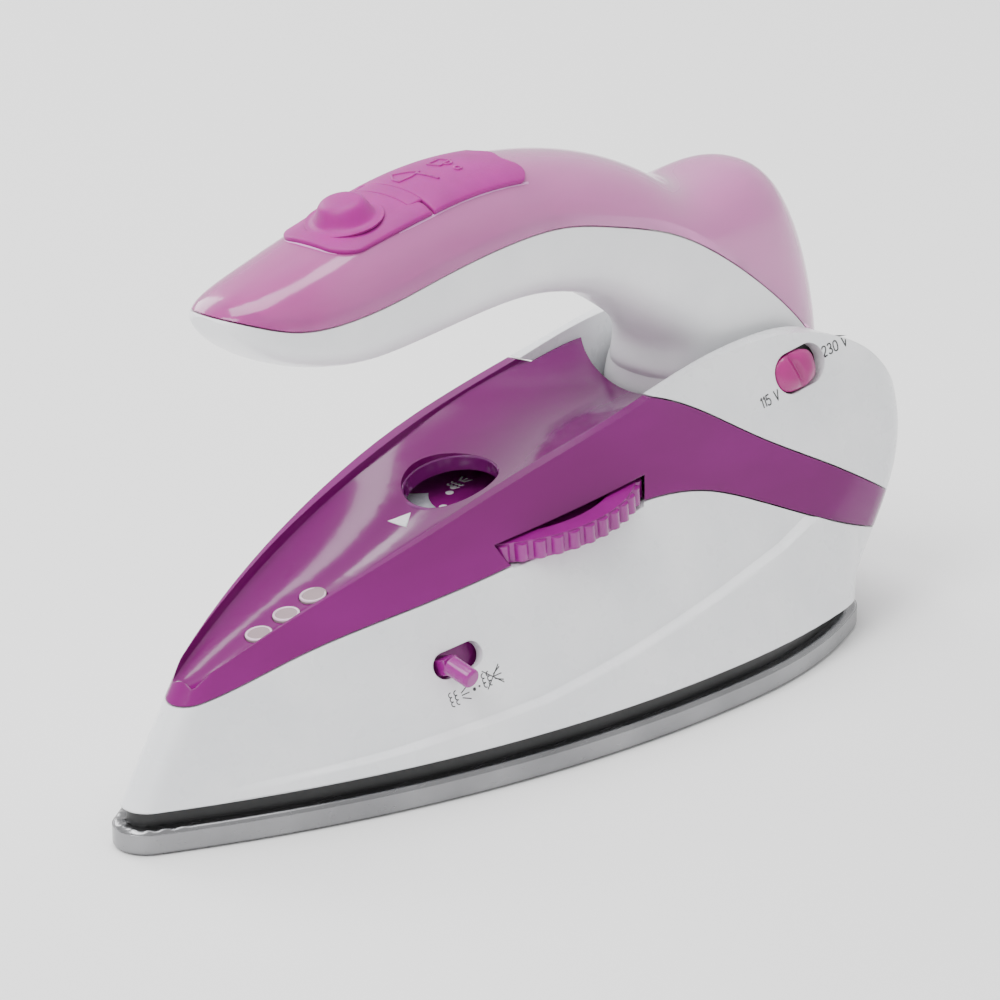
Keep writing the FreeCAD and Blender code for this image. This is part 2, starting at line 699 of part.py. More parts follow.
# ---------------------------------------------------------------- works inside
def make_element():
    rod = element_rod(ELEMENT_RADIUS)
    for sign in (1, -1):
        rod = rod.fuse(cyl(1.2, 9.0, (ELEMENT_LEG[0][0] - 1.4, sign * ELEMENT_LEG[0][1], ELEMENT_Z)))
    return rod


THERMOSTAT_BASE = (6.5, 30.0, 8.0)
BRIDGE_Z = 15.6


def spindle_point(z):
    axis = dial_axis()
    t = (z - DIAL_Z) / axis.z
    return vec(DIAL_X, 0, DIAL_Z) + axis * t


def make_thermostat():
    x0, x1, half = THERMOSTAT_BASE
    base = block(x0, x1, -half, half, CASTING_TOP, CASTING_TOP + 1.4)
    for sign in (1, -1):
        y = sign * (half - 1.0)
        base = base.fuse(block(x0 + 2, x0 + 11, y - 0.9, y + 0.9, CASTING_TOP, BRIDGE_Z + 1.6))
    base = base.fuse(block(x0 + 2, x0 + 11, -half, half, BRIDGE_Z, BRIDGE_Z + 1.6))
    hole = Part.makeCylinder(SPINDLE_RADIUS + 0.08, 12, spindle_point(BRIDGE_Z - 5), dial_axis())
    return base.cut(hole)


def make_contacts():
    x1 = THERMOSTAT_BASE[1]
    stack = cyl(3.6, 9.0, (x1 - 4.6, 0, CASTING_TOP + 1.4))
    low = block(x1 - 20, x1 - 4, -2.2, 2.2, CASTING_TOP + 3.4, CASTING_TOP + 3.8)
    high = block(x1 - 20, x1 - 4, -2.2, 2.2, CASTING_TOP + 5.8, CASTING_TOP + 6.2)
    return stack.fuse(low).fuse(high)


def make_fuse():
    body = cyl(2.0, 18, (36, 11, CASTING_TOP + 2.0), (1, 0, 0))
    clip = block(42, 48, 8, 14, CASTING_TOP, CASTING_TOP + 2.0)
    return body.fuse(clip)


def make_terminals():
    body = block(78.0, 84.0, -11, 11, FLOOR_TOP, FLOOR_TOP + 9)
    for i in range(3):
        y = -8.0 + 8.0 * i
        body = body.cut(cyl(1.6, 8, (77, y, FLOOR_TOP + 3.2), (1, 0, 0)))
        body = body.cut(cyl(1.4, 4, (81, y, FLOOR_TOP + 6)))
    return body


def make_dial():
    """Ribbed thumb wheel, its face seen through the window."""
    half = DIAL_THICK / 2
    rim = on_dial(DIAL_RADIUS - 1.0, -half, half)
    rim = rim.cut(on_dial(DIAL_RADIUS - 5.0, 0.4, half + 1))
    rim = rim.cut(on_dial(DIAL_RADIUS - 5.0, -half - 1, -1.2))
    axis = dial_axis()
    rib = on_dial(1.35, -half + 0.3, half - 0.3)
    rib.translate(vec(axis.z, 0, -axis.x) * (DIAL_RADIUS - 1.35))
    centre = vec(DIAL_X, 0, DIAL_Z)
    ribs = []
    for i in range(DIAL_RIBS):
        ribs.append(rib.rotated(centre, axis, 360.0 * i / DIAL_RIBS))
    wheel = rim.multiFuse(ribs)
    wheel = wheel.fuse(on_dial(SPINDLE_RADIUS + 2.5, -6, 0.4))
    return wheel.cut(on_dial(SPINDLE_RADIUS + PRESS, -7, -0.8))


def make_spindle():
    low = spindle_point(BRIDGE_Z - 1.0)
    axis = dial_axis()
    length = (vec(DIAL_X, 0, DIAL_Z) + axis * -0.9 - low).Length
    return Part.makeCylinder(SPINDLE_RADIUS, length, low, axis)


def oriented_bar(start, axis, run, side, half_run, half_side, length):
    a = start - run * half_run - side * half_side
    loop = [a, a + run * 2 * half_run, a + run * 2 * half_run + side * 2 * half_side,
            a + side * 2 * half_side, a]
    return Part.Face(Part.makePolygon(loop)).extrude(axis * length)


ARM_LENGTH = 23.0
ARM_HALF = (2.0, 0.9)
PEG_DROOP = 15.0
PEG_LENGTH = 5.6


def make_lever(outer):
    """Outside peg, carriage behind the wall, and the gate arm to the valve."""
    here, run, normal = lever_frame(outer)
    side = normal.cross(run)
    parked = here - run * (LEVER_TRAVEL / 2)
    droop = math.radians(PEG_DROOP)
    out = vec(0, -math.cos(droop), -math.sin(droop))
    peg_start = parked + normal * 1.9
    peg = Part.makeCylinder(PEG_RADIUS, PEG_LENGTH, peg_start, out)
    tip = [e for e in peg.Edges if e.CenterOfMass.y < peg_start.y - 4]
    peg = peg.makeFillet(0.7, tip[:1])
    neck = oriented_bar(parked - normal * 5.0, normal, run, side, 1.5, 1.5, 7.4)
    carriage = oriented_bar(parked - normal * 5.2, normal, run, side, 6.0, 3.4, 1.5)
    arm = oriented_bar(parked - normal * ARM_LENGTH, normal, run, side,
                       ARM_HALF[0], ARM_HALF[1], ARM_LENGTH - 4.2)
    return peg.fuse(neck).fuse(carriage).fuse(arm)


def make_valve(outer):
    body = block(VALVE_X - 11, VALVE_X + 9, -6, 6, CASTING_TOP + 1.2, 19.0)
    nozzle = cyl(VALVE_BORE - PRESS, 3, (VALVE_X, 0, CASTING_TOP - 0.8))
    here, run, normal = lever_frame(outer)
    side = normal.cross(run)
    gate = oriented_bar(here - normal * (ARM_LENGTH + 1.0), normal, run, side,
                        ARM_HALF[0] + LEVER_TRAVEL / 2 + SLIP, ARM_HALF[1] + SLIP, ARM_LENGTH)
    body = body.fuse(nozzle).cut(gate)
    return body


# ---------------------------------------------------------------- handle group
def mixed(a, b, share):
    return tuple(p + (q - p) * share for p, q in zip(a, b))


def handle_hollow():
    first = mixed(STATIONS[0], STATIONS[1], 0.7)
    last = mixed(STATIONS[-2], STATIONS[-1], 0.92)
    return handle_loft(HANDLE_WALL, (first,) + STATIONS[1:-1] + (last,))


def top_height(solid, x):
    probe = Part.makeLine(vec(x, 0, 60), vec(x, 0, 130)).common(solid)
    return max(v.Point.z for v in probe.Vertexes)


def slope_at(solid, x):
    return math.atan2(top_height(solid, x + 3) - top_height(solid, x - 3), 6)


def button_frame(outer):
    tilt = slope_at(outer, BUTTON_X)
    return vec(BUTTON_X, 0, top_height(outer, BUTTON_X)), vec(-math.sin(tilt), 0, math.cos(tilt))


def on_button(outer, radius, low, high):
    spot, axis = button_frame(outer)
    return Part.makeCylinder(radius, high - low, spot + axis * low, axis)


def filler_plug(outer, radius, low, high):
    return cyl(radius, high - low, (FILLER_X, 0, top_height(outer, FILLER_X) + low))


def below_seam(rise):
    return side_solid(lifted(GRIP_SEAM, rise), 20.0)


def above_seam(rise):
    return side_solid(lifted(GRIP_SEAM, rise), 140.0)


GRIP_SCREW_XS = (-44.0, 20.0)
TANK_FLOOR = 1.8


def seam_height(x):
    curve = spline([(px, 0, pz) for px, pz in GRIP_SEAM])
    probe = Part.makeLine(vec(x, 0, 0), vec(x, 0, 150))
    return curve.distToShape(probe)[1][0][0].z


def underside(solid, x):
    probe = Part.makeLine(vec(x, 0, 60), vec(x, 0, 95)).common(solid)
    return min(v.Point.z for v in probe.Vertexes)


def make_grip(outer, hollow):
    shell = outer.common(below_seam(-SEAM / 2)).cut(hollow)
    for x in GRIP_SCREW_XS:
        low = underside(outer, x)
        post = cyl(3.4, seam_height(x) - TANK_FLOOR - low, (x, 0, low)).common(outer)
        shell = shell.fuse(post.common(below_seam(-SEAM / 2)))
        shell = shell.cut(cyl(1.6, 60, (x, 0, 60)))
        shell = shell.cut(cyl(2.9, low + 2.6 - 60, (x, 0, 60)))
    drum = barrel(DRUM_RADIUS, DRUM_HALF_LENGTH, DRUM_ROUNDING)
    shell = shell.fuse(drum.cut(outer.common(above_seam(-SEAM / 2))))
    shell = shell.cut(cyl(PIN_RADIUS + 0.08, 50, (PIVOT_X, -25, PIVOT_Z), (0, 1, 0)))
    channel = Part.makeCylinder(FEED_RADIUS + PRESS, 40, vec(PIVOT_X, 0, PIVOT_Z), feed_axis())
    return shell.cut(channel)


def make_tank(outer, hollow):
    tank = outer.common(above_seam(SEAM / 2)).cut(hollow.common(above_seam(SEAM / 2 + TANK_FLOOR)))
    for x in GRIP_SCREW_XS:
        base = seam_height(x) - 0.6
        tank = tank.fuse(cyl(3.4, 7.0, (x, 0, base + 1.0)))
        tank = tank.cut(cyl(1.35, 6.6, (x, 0, base)))
    tank = tank.cut(on_button(outer, PUMP_RADIUS + PRESS, -PUMP_DEPTH - 2, 4))
    tank = tank.cut(filler_plug(outer, FILLER_RADIUS, -6, 6))
    channel = Part.makeCylinder(FEED_RADIUS + PRESS, 40, vec(PIVOT_X, 0, PIVOT_Z), feed_axis())
    return tank.cut(channel.common(hollow.common(below_seam(TANK_FLOOR + 1.0))))


PUMP_RADIUS = 6.0
PUMP_DEPTH = 13.0


def make_pump(outer):
    pump = on_button(outer, PUMP_RADIUS, -PUMP_DEPTH, -0.6)
    pump = pump.cut(on_button(outer, BUTTON_RADIUS + 0.15, -PUMP_STROKE - 0.9, 3))
    return pump.cut(on_button(outer, 3.4, -PUMP_DEPTH + 1.2, 0))


def make_button(outer):
    """Thumb dome of the spray pump with its plunger."""
    body = on_button(outer, BUTTON_RADIUS, -0.5, PAD_THICK + BUTTON_RISE)
    rim = [e for e in body.Edges if e.CenterOfMass.z > top_height(outer, BUTTON_X) + 3.0]
    body = body.makeFillet(3.0, rim)
    return body.fuse(on_button(outer, 3.2, -7.5, 0))


def make_spring(outer):
    spot, axis = button_frame(outer)
    pitch = 1.2
    low = -PUMP_DEPTH + 1.2
    height = -7.5 - low
    helix = Part.makeHelix(pitch, height - 0.9, 2.4)
    ring = Part.Wire([Part.makeCircle(0.35, vec(2.4, 0, 0), vec(0, 1, 0.16))])
    coil = Part.Wire(helix).makePipeShell([ring], True, True)
    turn = FreeCAD.Rotation(vec(0, 0, 1), axis)
    coil.Placement = FreeCAD.Placement(spot + axis * (low + 0.45), turn)
    return coil


PAD_FRONT = -39.5
PAD_REAR = 9.5
PAD_HALF_FRONT = 9.6
PAD_HALF_REAR = 10.8
PAD_CORNER = 2.5
PAD_SPLIT = 0.5
# Room ahead of the hinge for the flap's upper edge, which leans forward as it opens.
FLAP_LEAN = 0.6


def pad_prism(x0, x1, corner0, corner1):
    """Upright prism over part of the pad, tapering towards the front."""
    def half(x):
        share = (x - PAD_FRONT) / (PAD_REAR - PAD_FRONT)
        return PAD_HALF_FRONT + share * (PAD_HALF_REAR - PAD_HALF_FRONT)

    loop = [vec(x0, -half(x0), 90), vec(x1, -half(x1), 90), vec(x1, half(x1), 90),
            vec(x0, half(x0), 90), vec(x0, -half(x0), 90)]
    prism = Part.Face(Part.makePolygon(loop)).extrude(vec(0, 0, 40))
    for x, radius in ((x0, corner0), (x1, corner1)):
        edges = [e for e in prism.Edges if e.Length > 39 and abs(e.CenterOfMass.x - x) < 0.01]
        if radius > 0:
            prism = prism.makeFillet(radius, edges)
    return prism


def make_pad(outer, skin):
    sheet = skin.cut(handle_loft(-SLIP / 2))
    pad_end = FLAP_HINGE_X - PAD_SPLIT - FLAP_LEAN
    pad = sheet.common(pad_prism(PAD_FRONT, pad_end, PAD_CORNER, 0))
    return pad.cut(on_button(outer, BUTTON_RADIUS + 0.4, -4, 8))


def make_flap(outer, skin, under):
    """Filler flap with its plug, hinged at its front edge."""
    sheet = skin.cut(under)
    flap = sheet.common(pad_prism(FLAP_HINGE_X + PAD_SPLIT, PAD_REAR, 0, PAD_CORNER))
    plug = filler_plug(outer, FILLER_RADIUS - 0.4, -2.6, PAD_THICK * 0.6)
    return flap.fuse(plug)


def make_grip_screws(outer):
    screws = []
    for x in GRIP_SCREW_XS:
        low = underside(outer, x)
        head = cyl(2.7, 1.8, (x, 0, low + 0.8))
        shank = cyl(1.3, seam_height(x) + 4.0 - low - 2.6, (x, 0, low + 2.6))
        cross = block(x - 1.6, x + 1.6, -0.3, 0.3, low, low + 1.6)
        screws.append(head.fuse(shank).cut(cross))
    return Part.makeCompound(screws)


def main():
    outer = body_outer()
    inner = body_inner()
    handle = handle_loft(0)
    hollow = handle_hollow()
    pad_skin = handle_loft(-PAD_THICK)
    flap_under = handle_loft(-SLIP)
    save(make_skin(), "soleplate_skin")
    save(make_casting(), "sole_casting")
    save(make_element(), "heating_element")
    save(make_lid(), "chamber_lid")
    save(make_shield(), "heat_shield")
    save(make_sole_screws(), "sole_screws")
    save(make_thermostat(), "thermostat_frame")
    save(make_contacts(), "thermostat_contacts")
    save(make_fuse(), "thermal_fuse")
    save(make_terminals(), "terminal_block")
    save(make_lower_housing(outer, inner), "lower_housing")
    save(make_cover(outer, inner), "top_cover")
    save(make_lenses(), "pilot_lenses")
    save(make_lamp_board(), "lamp_board")
    save(make_rear_housing(outer, inner), "rear_housing")
    save(make_switch_body(outer), "voltage_switch")
    save(make_voltage_knob(outer), "voltage_knob")
    save(make_cord_bush(), "cord_bush")
    save(make_pivot_pin(), "pivot_pin")
    save(make_washers(), "fold_washers")
    save(make_body_feed(), "feed_hose")
    save(make_dial(), "temperature_dial")
    save(make_spindle(), "dial_spindle")
    save(make_lever(outer), "steam_lever")
    save(make_valve(outer), "steam_valve")
    save(make_grip(handle, hollow), "grip_shell")
    save(make_tank(handle, hollow), "water_tank")
    save(make_handle_feed(), "feed_tube")
    save(make_grip_screws(handle), "grip_screws")
    save(make_pump(handle), "pump_body")
    save(make_button(handle), "pump_button")
    save(make_spring(handle), "pump_spring")
    save(make_pad(handle, pad_skin), "button_pad")
    save(make_flap(handle, pad_skin, flap_under), "filler_flap")


main()
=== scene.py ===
"""Looks of a travel steam iron whose water-tank handle folds down.

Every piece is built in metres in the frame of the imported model: nose at -X,
heel at +X, the side with the steam lever at -Y, +Z up, sole underside at 0.
"""

import json
import logging
import math
from dataclasses import dataclass, field
from enum import Enum
from typing import Optional

import bmesh
import bpy
import numpy as np
from mathutils import Matrix, Vector


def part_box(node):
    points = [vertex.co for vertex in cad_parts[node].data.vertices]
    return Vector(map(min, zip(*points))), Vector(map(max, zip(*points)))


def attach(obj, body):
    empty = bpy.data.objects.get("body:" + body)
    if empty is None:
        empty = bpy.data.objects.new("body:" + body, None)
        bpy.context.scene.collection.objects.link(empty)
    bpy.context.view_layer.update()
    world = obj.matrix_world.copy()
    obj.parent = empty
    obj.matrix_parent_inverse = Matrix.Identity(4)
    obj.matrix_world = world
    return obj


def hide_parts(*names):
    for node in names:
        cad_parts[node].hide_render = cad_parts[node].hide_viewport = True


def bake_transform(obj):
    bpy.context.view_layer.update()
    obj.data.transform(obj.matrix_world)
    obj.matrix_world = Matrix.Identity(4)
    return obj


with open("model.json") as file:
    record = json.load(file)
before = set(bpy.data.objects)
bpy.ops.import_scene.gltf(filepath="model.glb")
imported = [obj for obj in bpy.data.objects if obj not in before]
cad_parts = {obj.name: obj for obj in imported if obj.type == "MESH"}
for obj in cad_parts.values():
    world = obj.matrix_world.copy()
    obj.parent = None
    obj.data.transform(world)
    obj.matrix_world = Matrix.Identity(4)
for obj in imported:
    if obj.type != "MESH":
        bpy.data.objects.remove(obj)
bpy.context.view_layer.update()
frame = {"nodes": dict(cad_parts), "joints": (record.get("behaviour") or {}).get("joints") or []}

MM = 0.001
# How far a drawing may lie from the surface it is carried onto, in metres.
REACH = 0.004
# Thickness of printed ink in metres.
INK = 0.00008
Colour = tuple[float, float, float, float]
Spot = tuple[float, float, float]
Point = tuple[float, float]
LOG = logging.getLogger("iron")


# ------------------------------------------------------------------ colours
def tint(red: float, green: float, blue: float) -> Colour:
    """Linear colour of a display colour.

    Args:
        red, green, blue: display values from 0 to 255.

    Returns:
        Linear red, green, blue and an alpha of 1.
    """
    shown = np.array([red, green, blue], float) / 255
    linear = np.where(shown <= 0.04045, shown / 12.92, ((shown + 0.055) / 1.055) ** 2.4)
    return (float(linear[0]), float(linear[1]), float(linear[2]), 1.0)


class Bench:
    """Node tree of one material, with short ways to add and join nodes."""

    def __init__(self, name: str) -> None:
        """Starts a material that holds one shader and its output."""
        self.material = bpy.data.materials.new(name)
        self.material.use_nodes = True
        self.tree = self.material.node_tree
        self.tree.nodes.clear()
        self.output = self.tree.nodes.new("ShaderNodeOutputMaterial")
        self.shader = self.tree.nodes.new("ShaderNodeBsdfPrincipled")
        self.join(self.shader, "BSDF", self.output, "Surface")
        self.place = self.tree.nodes.new("ShaderNodeTexCoord")

    def join(self, source: bpy.types.Node, out: str, target: bpy.types.Node, into: str) -> None:
        """Links one socket to another, both by name."""
        self.tree.links.new(source.outputs[out], target.inputs[into])

    def set(self, **values: object) -> None:
        """Sets constant values on the shader, spaces in names written as underscores."""
        for name, value in values.items():
            self.shader.inputs[name.replace("_", " ")].default_value = value

    def noise(self, size: float, stretch: Spot = (1, 1, 1),
              detail: float = 3.0) -> bpy.types.Node:
        """Noise on object coordinates.

        Args:
            size: width in metres of one blotch.
            stretch: how many times finer the noise is along each axis.
            detail: octaves.

        Returns:
            The noise node.
        """
        turn = self.tree.nodes.new("ShaderNodeMapping")
        turn.inputs["Scale"].default_value = stretch
        made = self.tree.nodes.new("ShaderNodeTexNoise")
        made.inputs["Scale"].default_value = 1.0 / size
        made.inputs["Detail"].default_value = detail
        self.join(self.place, "Object", turn, "Vector")
        self.join(turn, "Vector", made, "Vector")
        return made

    def ramp(self, source: bpy.types.Node, out: str,
             stops: list[tuple[float, Colour]]) -> bpy.types.Node:
        """Colour ramp driven by one value."""
        made = self.tree.nodes.new("ShaderNodeValToRGB")
        places = made.color_ramp.elements
        while len(places) < len(stops):
            places.new(0.5)
        for spot, (where, colour) in zip(places, stops):
            spot.position = where
            spot.color = colour
        self.join(source, out, made, "Fac")
        return made

    def mottle(self, source: bpy.types.Node, *stops: tuple[float, Colour]) -> None:
        """Base colour that wanders between stops with a noise."""
        self.join(self.ramp(source, "Fac", list(stops)), "Color", self.shader, "Base Color")

    def along(self, axis: str, low: float, high: float) -> bpy.types.Node:
        """Value that goes from 0 at low to 1 at high metres along one object axis."""
        parts = self.tree.nodes.new("ShaderNodeSeparateXYZ")
        made = self.tree.nodes.new("ShaderNodeMapRange")
        made.inputs["From Min"].default_value = low
        made.inputs["From Max"].default_value = high
        self.join(self.place, "Object", parts, "Vector")
        self.join(parts, axis, made, "Value")
        return made

    def spread(self, source: bpy.types.Node, low: float, high: float) -> None:
        """Roughness that wanders between two values with a noise."""
        made = self.tree.nodes.new("ShaderNodeMapRange")
        made.inputs["To Min"].default_value = low
        made.inputs["To Max"].default_value = high
        self.join(source, "Fac", made, "Value")
        self.join(made, "Result", self.shader, "Roughness")

    def bumps(self, layers: list[tuple[bpy.types.Node, float, float]], edge: float) -> None:
        """Stacks bumps on the shader's normal.

        Args:
            layers: noise node, strength and height in metres of each layer.
            edge: radius in metres to which hard edges are softened, 0 for none.
        """
        under: Optional[bpy.types.Node] = None
        if edge > 0:
            under = self.tree.nodes.new("ShaderNodeBevel")
            under.samples = 4
            under.inputs["Radius"].default_value = edge
        for node, strength, height in layers:
            bump = self.tree.nodes.new("ShaderNodeBump")
            bump.inputs["Strength"].default_value = strength
            bump.inputs["Distance"].default_value = height
            self.join(node, "Fac", bump, "Height")
            if under is not None:
                self.join(under, "Normal", bump, "Normal")
            under = bump
        if under is not None:
            self.join(under, "Normal", self.shader, "Normal")


# ----------------------------------------------------------------- finishes
@dataclass(frozen=True)
class MouldedPlastic:
    """Glossy or satin moulded plastic with faint mottling and moulding skin."""

    name: str
    light: Colour
    deep: Colour
    gloss: Point = (0.22, 0.34)
    coat: float = 0.25
    grain: float = 0.0006
    grain_height: float = 0.00003
    grain_strength: float = 0.12
    edge: float = 0.00035

    def make(self) -> bpy.types.Material:
        """Builds the material."""
        bench = Bench(self.name)
        mottle = bench.noise(0.018, (1, 1, 1), 4)
        fine = bench.noise(self.grain, (1, 1, 1), 2)
        bench.mottle(mottle, (0.36, self.deep), (0.64, self.light))
        bench.spread(bench.noise(0.006, (1, 1, 1), 3), *self.gloss)
        bench.set(IOR=1.49, Coat_Weight=self.coat, Coat_Roughness=0.12)
        bench.bumps([(bench.noise(0.009, (1, 1, 1), 2), 0.05, 0.0002),
                     (fine, self.grain_strength, self.grain_height)], self.edge)
        return bench.material


@dataclass(frozen=True)
class ClearPlastic:
    """Tinted see-through plastic that clouds where it is thick."""

    name: str
    near: Colour
    far: Colour
    cloud: Colour
    span: Point
    clear: float
    gloss: Point = (0.08, 0.16)
    coat: float = 0.5
    edge: float = 0.0003

    def make(self) -> bpy.types.Material:
        """Builds the material."""
        bench = Bench(self.name)
        fade = bench.ramp(bench.along("X", *self.span), "Result",
                          [(0.0, self.near), (1.0, self.far)])
        streak = bench.noise(0.03, (0.5, 1.6, 1.6), 3)
        patch = bench.tree.nodes.new("ShaderNodeMapRange")
        patch.inputs["From Min"].default_value = 0.42
        patch.inputs["From Max"].default_value = 0.75
        patch.inputs["To Max"].default_value = 0.45
        mix = bench.tree.nodes.new("ShaderNodeMix")
        mix.data_type = "RGBA"
        mix.inputs[7].default_value = self.cloud
        bench.join(streak, "Fac", patch, "Value")
        bench.tree.links.new(patch.outputs["Result"], mix.inputs[0])
        bench.tree.links.new(fade.outputs["Color"], mix.inputs[6])
        bench.tree.links.new(mix.outputs[2], bench.shader.inputs["Base Color"])
        bench.spread(bench.noise(0.008, (1, 1, 1), 3), *self.gloss)
        bench.set(IOR=1.4, Transmission_Weight=self.clear, Coat_Weight=self.coat,
                  Coat_Roughness=0.05)
        bench.bumps([(bench.noise(0.011, (1, 1, 1), 2), 0.06, 0.0003)], self.edge)
        return bench.material


@dataclass(frozen=True)
class WorkedMetal:
    """Metal with fine lines drawn along one axis."""

    name: str
    light: Colour
    deep: Colour
    gloss: Point
    lines: Spot = (0.04, 1, 1)
    line_size: float = 0.0004
    line_height: float = 0.00001
    line_strength: float = 0.25

    def make(self) -> bpy.types.Material:
        """Builds the material."""
        bench = Bench(self.name)
        drawn = bench.noise(self.line_size, self.lines, 3)
        bench.mottle(bench.noise(0.02, (1, 1, 1), 4), (0.3, self.deep), (0.7, self.light))
        bench.spread(drawn, *self.gloss)
        bench.set(Metallic=1.0)
        bench.bumps([(drawn, self.line_strength, self.line_height)], 0.0003)
        return bench.material


@dataclass(frozen=True)
class SoftRubber:
    """Matt silicone or rubber with a fine skin."""

    name: str
    light: Colour
    deep: Colour
    gloss: Point = (0.42, 0.56)
    grain: float = 0.0005

    def make(self) -> bpy.types.Material:
        """Builds the material."""
        bench = Bench(self.name)
        mottle = bench.noise(0.007, (1, 1, 1), 5)
        skin = bench.noise(self.grain, (1, 1, 1), 3)
        bench.mottle(mottle, (0.32, self.deep), (0.7, self.light))
        bench.spread(skin, *self.gloss)
        bench.set(IOR=1.43, Sheen_Weight=0.04, Subsurface_Weight=0.1, Subsurface_Scale=0.002)
        bench.bumps([(skin, 0.35, 0.00006)], 0.0004)
        return bench.material


@dataclass(frozen=True)
class PrintedInk:
    """Thin pad-printed ink with slightly uneven cover."""

    name: str
    light: Colour
    deep: Colour

    def make(self) -> bpy.types.Material:
        """Builds the material."""
        bench = Bench(self.name)
        cover = bench.noise(0.0007, (1, 1, 1), 3)
        bench.mottle(cover, (0.3, self.deep), (0.7, self.light))
        bench.spread(cover, 0.4, 0.6)
        bench.bumps([(cover, 0.2, 0.00002)], 0.0)
        return bench.material


class Finish(Enum):
    """Every finish on the iron."""

    HOUSING = MouldedPlastic("housing_white", tint(238, 239, 241), tint(229, 231, 234))
    GRIP = MouldedPlastic("grip_white", tint(238, 239, 241), tint(231, 232, 235), (0.26, 0.38))
    COVER = ClearPlastic("cover_magenta", tint(118, 1, 102), tint(108, 1, 94),
                         tint(136, 10, 124), (-0.08, 0.09), 0.06, (0.1, 0.18), 0.15)
    WELL = ClearPlastic("window_magenta", tint(160, 30, 150), tint(160, 30, 150),
                        tint(176, 60, 170), (-0.08, 0.09), 0.5)
    TANK = ClearPlastic("tank_pink", tint(206, 74, 172), tint(230, 140, 206),
                        tint(236, 164, 214), (-0.06, 0.05), 0.5, (0.12, 0.22))
    CONTROL = MouldedPlastic("control_magenta", tint(142, 6, 126), tint(128, 4, 112),
                             (0.2, 0.3), 0.35)
    KNOB = MouldedPlastic("knob_magenta", tint(164, 12, 116), tint(150, 8, 106),
                          (0.24, 0.34), 0.3)
    PAD = SoftRubber("pad_silicone", tint(160, 4, 132), tint(146, 3, 120))
    PAD_LINE = SoftRubber("pad_line", tint(226, 160, 212), tint(214, 146, 200))
    SOLE = WorkedMetal("sole_steel", tint(150, 150, 152), tint(128, 128, 130), (0.18, 0.32))
    CASTING = WorkedMetal("cast_alloy", tint(176, 177, 180), tint(150, 151, 155), (0.42, 0.6),
                          (1, 1, 1), 0.0009, 0.00004, 0.5)
    HEATER = WorkedMetal("element_steel", tint(140, 138, 135), tint(112, 108, 104), (0.4, 0.55))
    SCREW = WorkedMetal("screw_steel", tint(190, 190, 192), tint(170, 170, 173), (0.2, 0.32))
    BRASS = WorkedMetal("contact_brass", tint(214, 180, 110), tint(190, 150, 84), (0.25, 0.4))
    SHIELD = MouldedPlastic("shield_black", tint(24, 24, 25), tint(15, 15, 16), (0.36, 0.5),
                            0.05, 0.0005, 0.00004, 0.3)
    LENS = ClearPlastic("lens_clear", tint(186, 160, 168), tint(186, 160, 168),
                        tint(200, 180, 184), (-0.06, 0.0), 0.25)
    # Near-white ring on each lamp lens: a painted highlight on a small raised bead.
    LENS_HIGHLIGHT_RING = MouldedPlastic("lens_highlight_ring", tint(248, 226, 240), tint(238, 208, 228),
                               (0.12, 0.2), 0.4)
    BOARD = MouldedPlastic("board_tan", tint(196, 170, 110), tint(176, 148, 90), (0.45, 0.6), 0.1)
    RUBBER = SoftRubber("bush_rubber", tint(226, 226, 226), tint(210, 210, 211))
    NYLON = MouldedPlastic("washer_nylon", tint(226, 222, 212), tint(214, 208, 196),
                           (0.4, 0.5), 0.1)
    HOSE = SoftRubber("hose_silicone", tint(232, 230, 222), tint(216, 212, 202))
    INK_GREY = PrintedInk("ink_grey", tint(62, 62, 64), tint(46, 46, 48))
    INK_WHITE = PrintedInk("ink_white", tint(250, 250, 250), tint(238, 238, 240))
    INK_SILVER = PrintedInk("ink_silver", tint(206, 208, 214), tint(190, 192, 200))


class Paints:
    """The materials, each made once."""

    def __init__(self) -> None:
        """Starts with no material made."""
        self.made: dict[Finish, bpy.types.Material] = {}

    def get(self, finish: Finish) -> bpy.types.Material:
        """The material of a finish."""
        if finish not in self.made:
            self.made[finish] = finish.value.make()
        return self.made[finish]

    def dress(self, piece: bpy.types.Object, finish: Finish) -> None:
        """Gives a piece or a carried-over node its finish and reports it."""
        piece.data.materials.clear()
        piece.data.materials.append(self.get(finish))
        LOG.info("%s: %s, %d faces", piece.name, finish.name.lower(), len(piece.data.polygons))


PAINTS = Paints()


# Ways out of the flank where the lever and the selector sit.
LEVER_OUT = (-0.2427, -0.9042, 0.3514)
SELECTOR_OUT = (-0.1521, -0.9565, 0.2491)


# ----------------------------------------------------------- mesh utilities
def grid_faces(rows: int, columns: int, wrap_rows: bool = False,
               wrap_columns: bool = False) -> np.ndarray:
    """Four-cornered faces of a grid of points.

    The face at row i and column j joins points (i, j), (i+1, j), (i+1, j+1)
    and (i, j+1); a wrapped direction also joins its last line to its first.

    Args:
        rows, columns: size of the grid.
        wrap_rows, wrap_columns: whether that direction closes on itself.

    Returns:
        An array of point numbers, one face to a line.
    """
    i, j = np.meshgrid(np.arange(rows if wrap_rows else rows - 1),
                       np.arange(columns if wrap_columns else columns - 1), indexing="ij")
    i2 = (i + 1) % rows
    j2 = (j + 1) % columns
    corners = [i * columns + j, i2 * columns + j, i2 * columns + j2, i * columns + j2]
    return np.stack(corners, axis=-1).reshape(-1, 4)


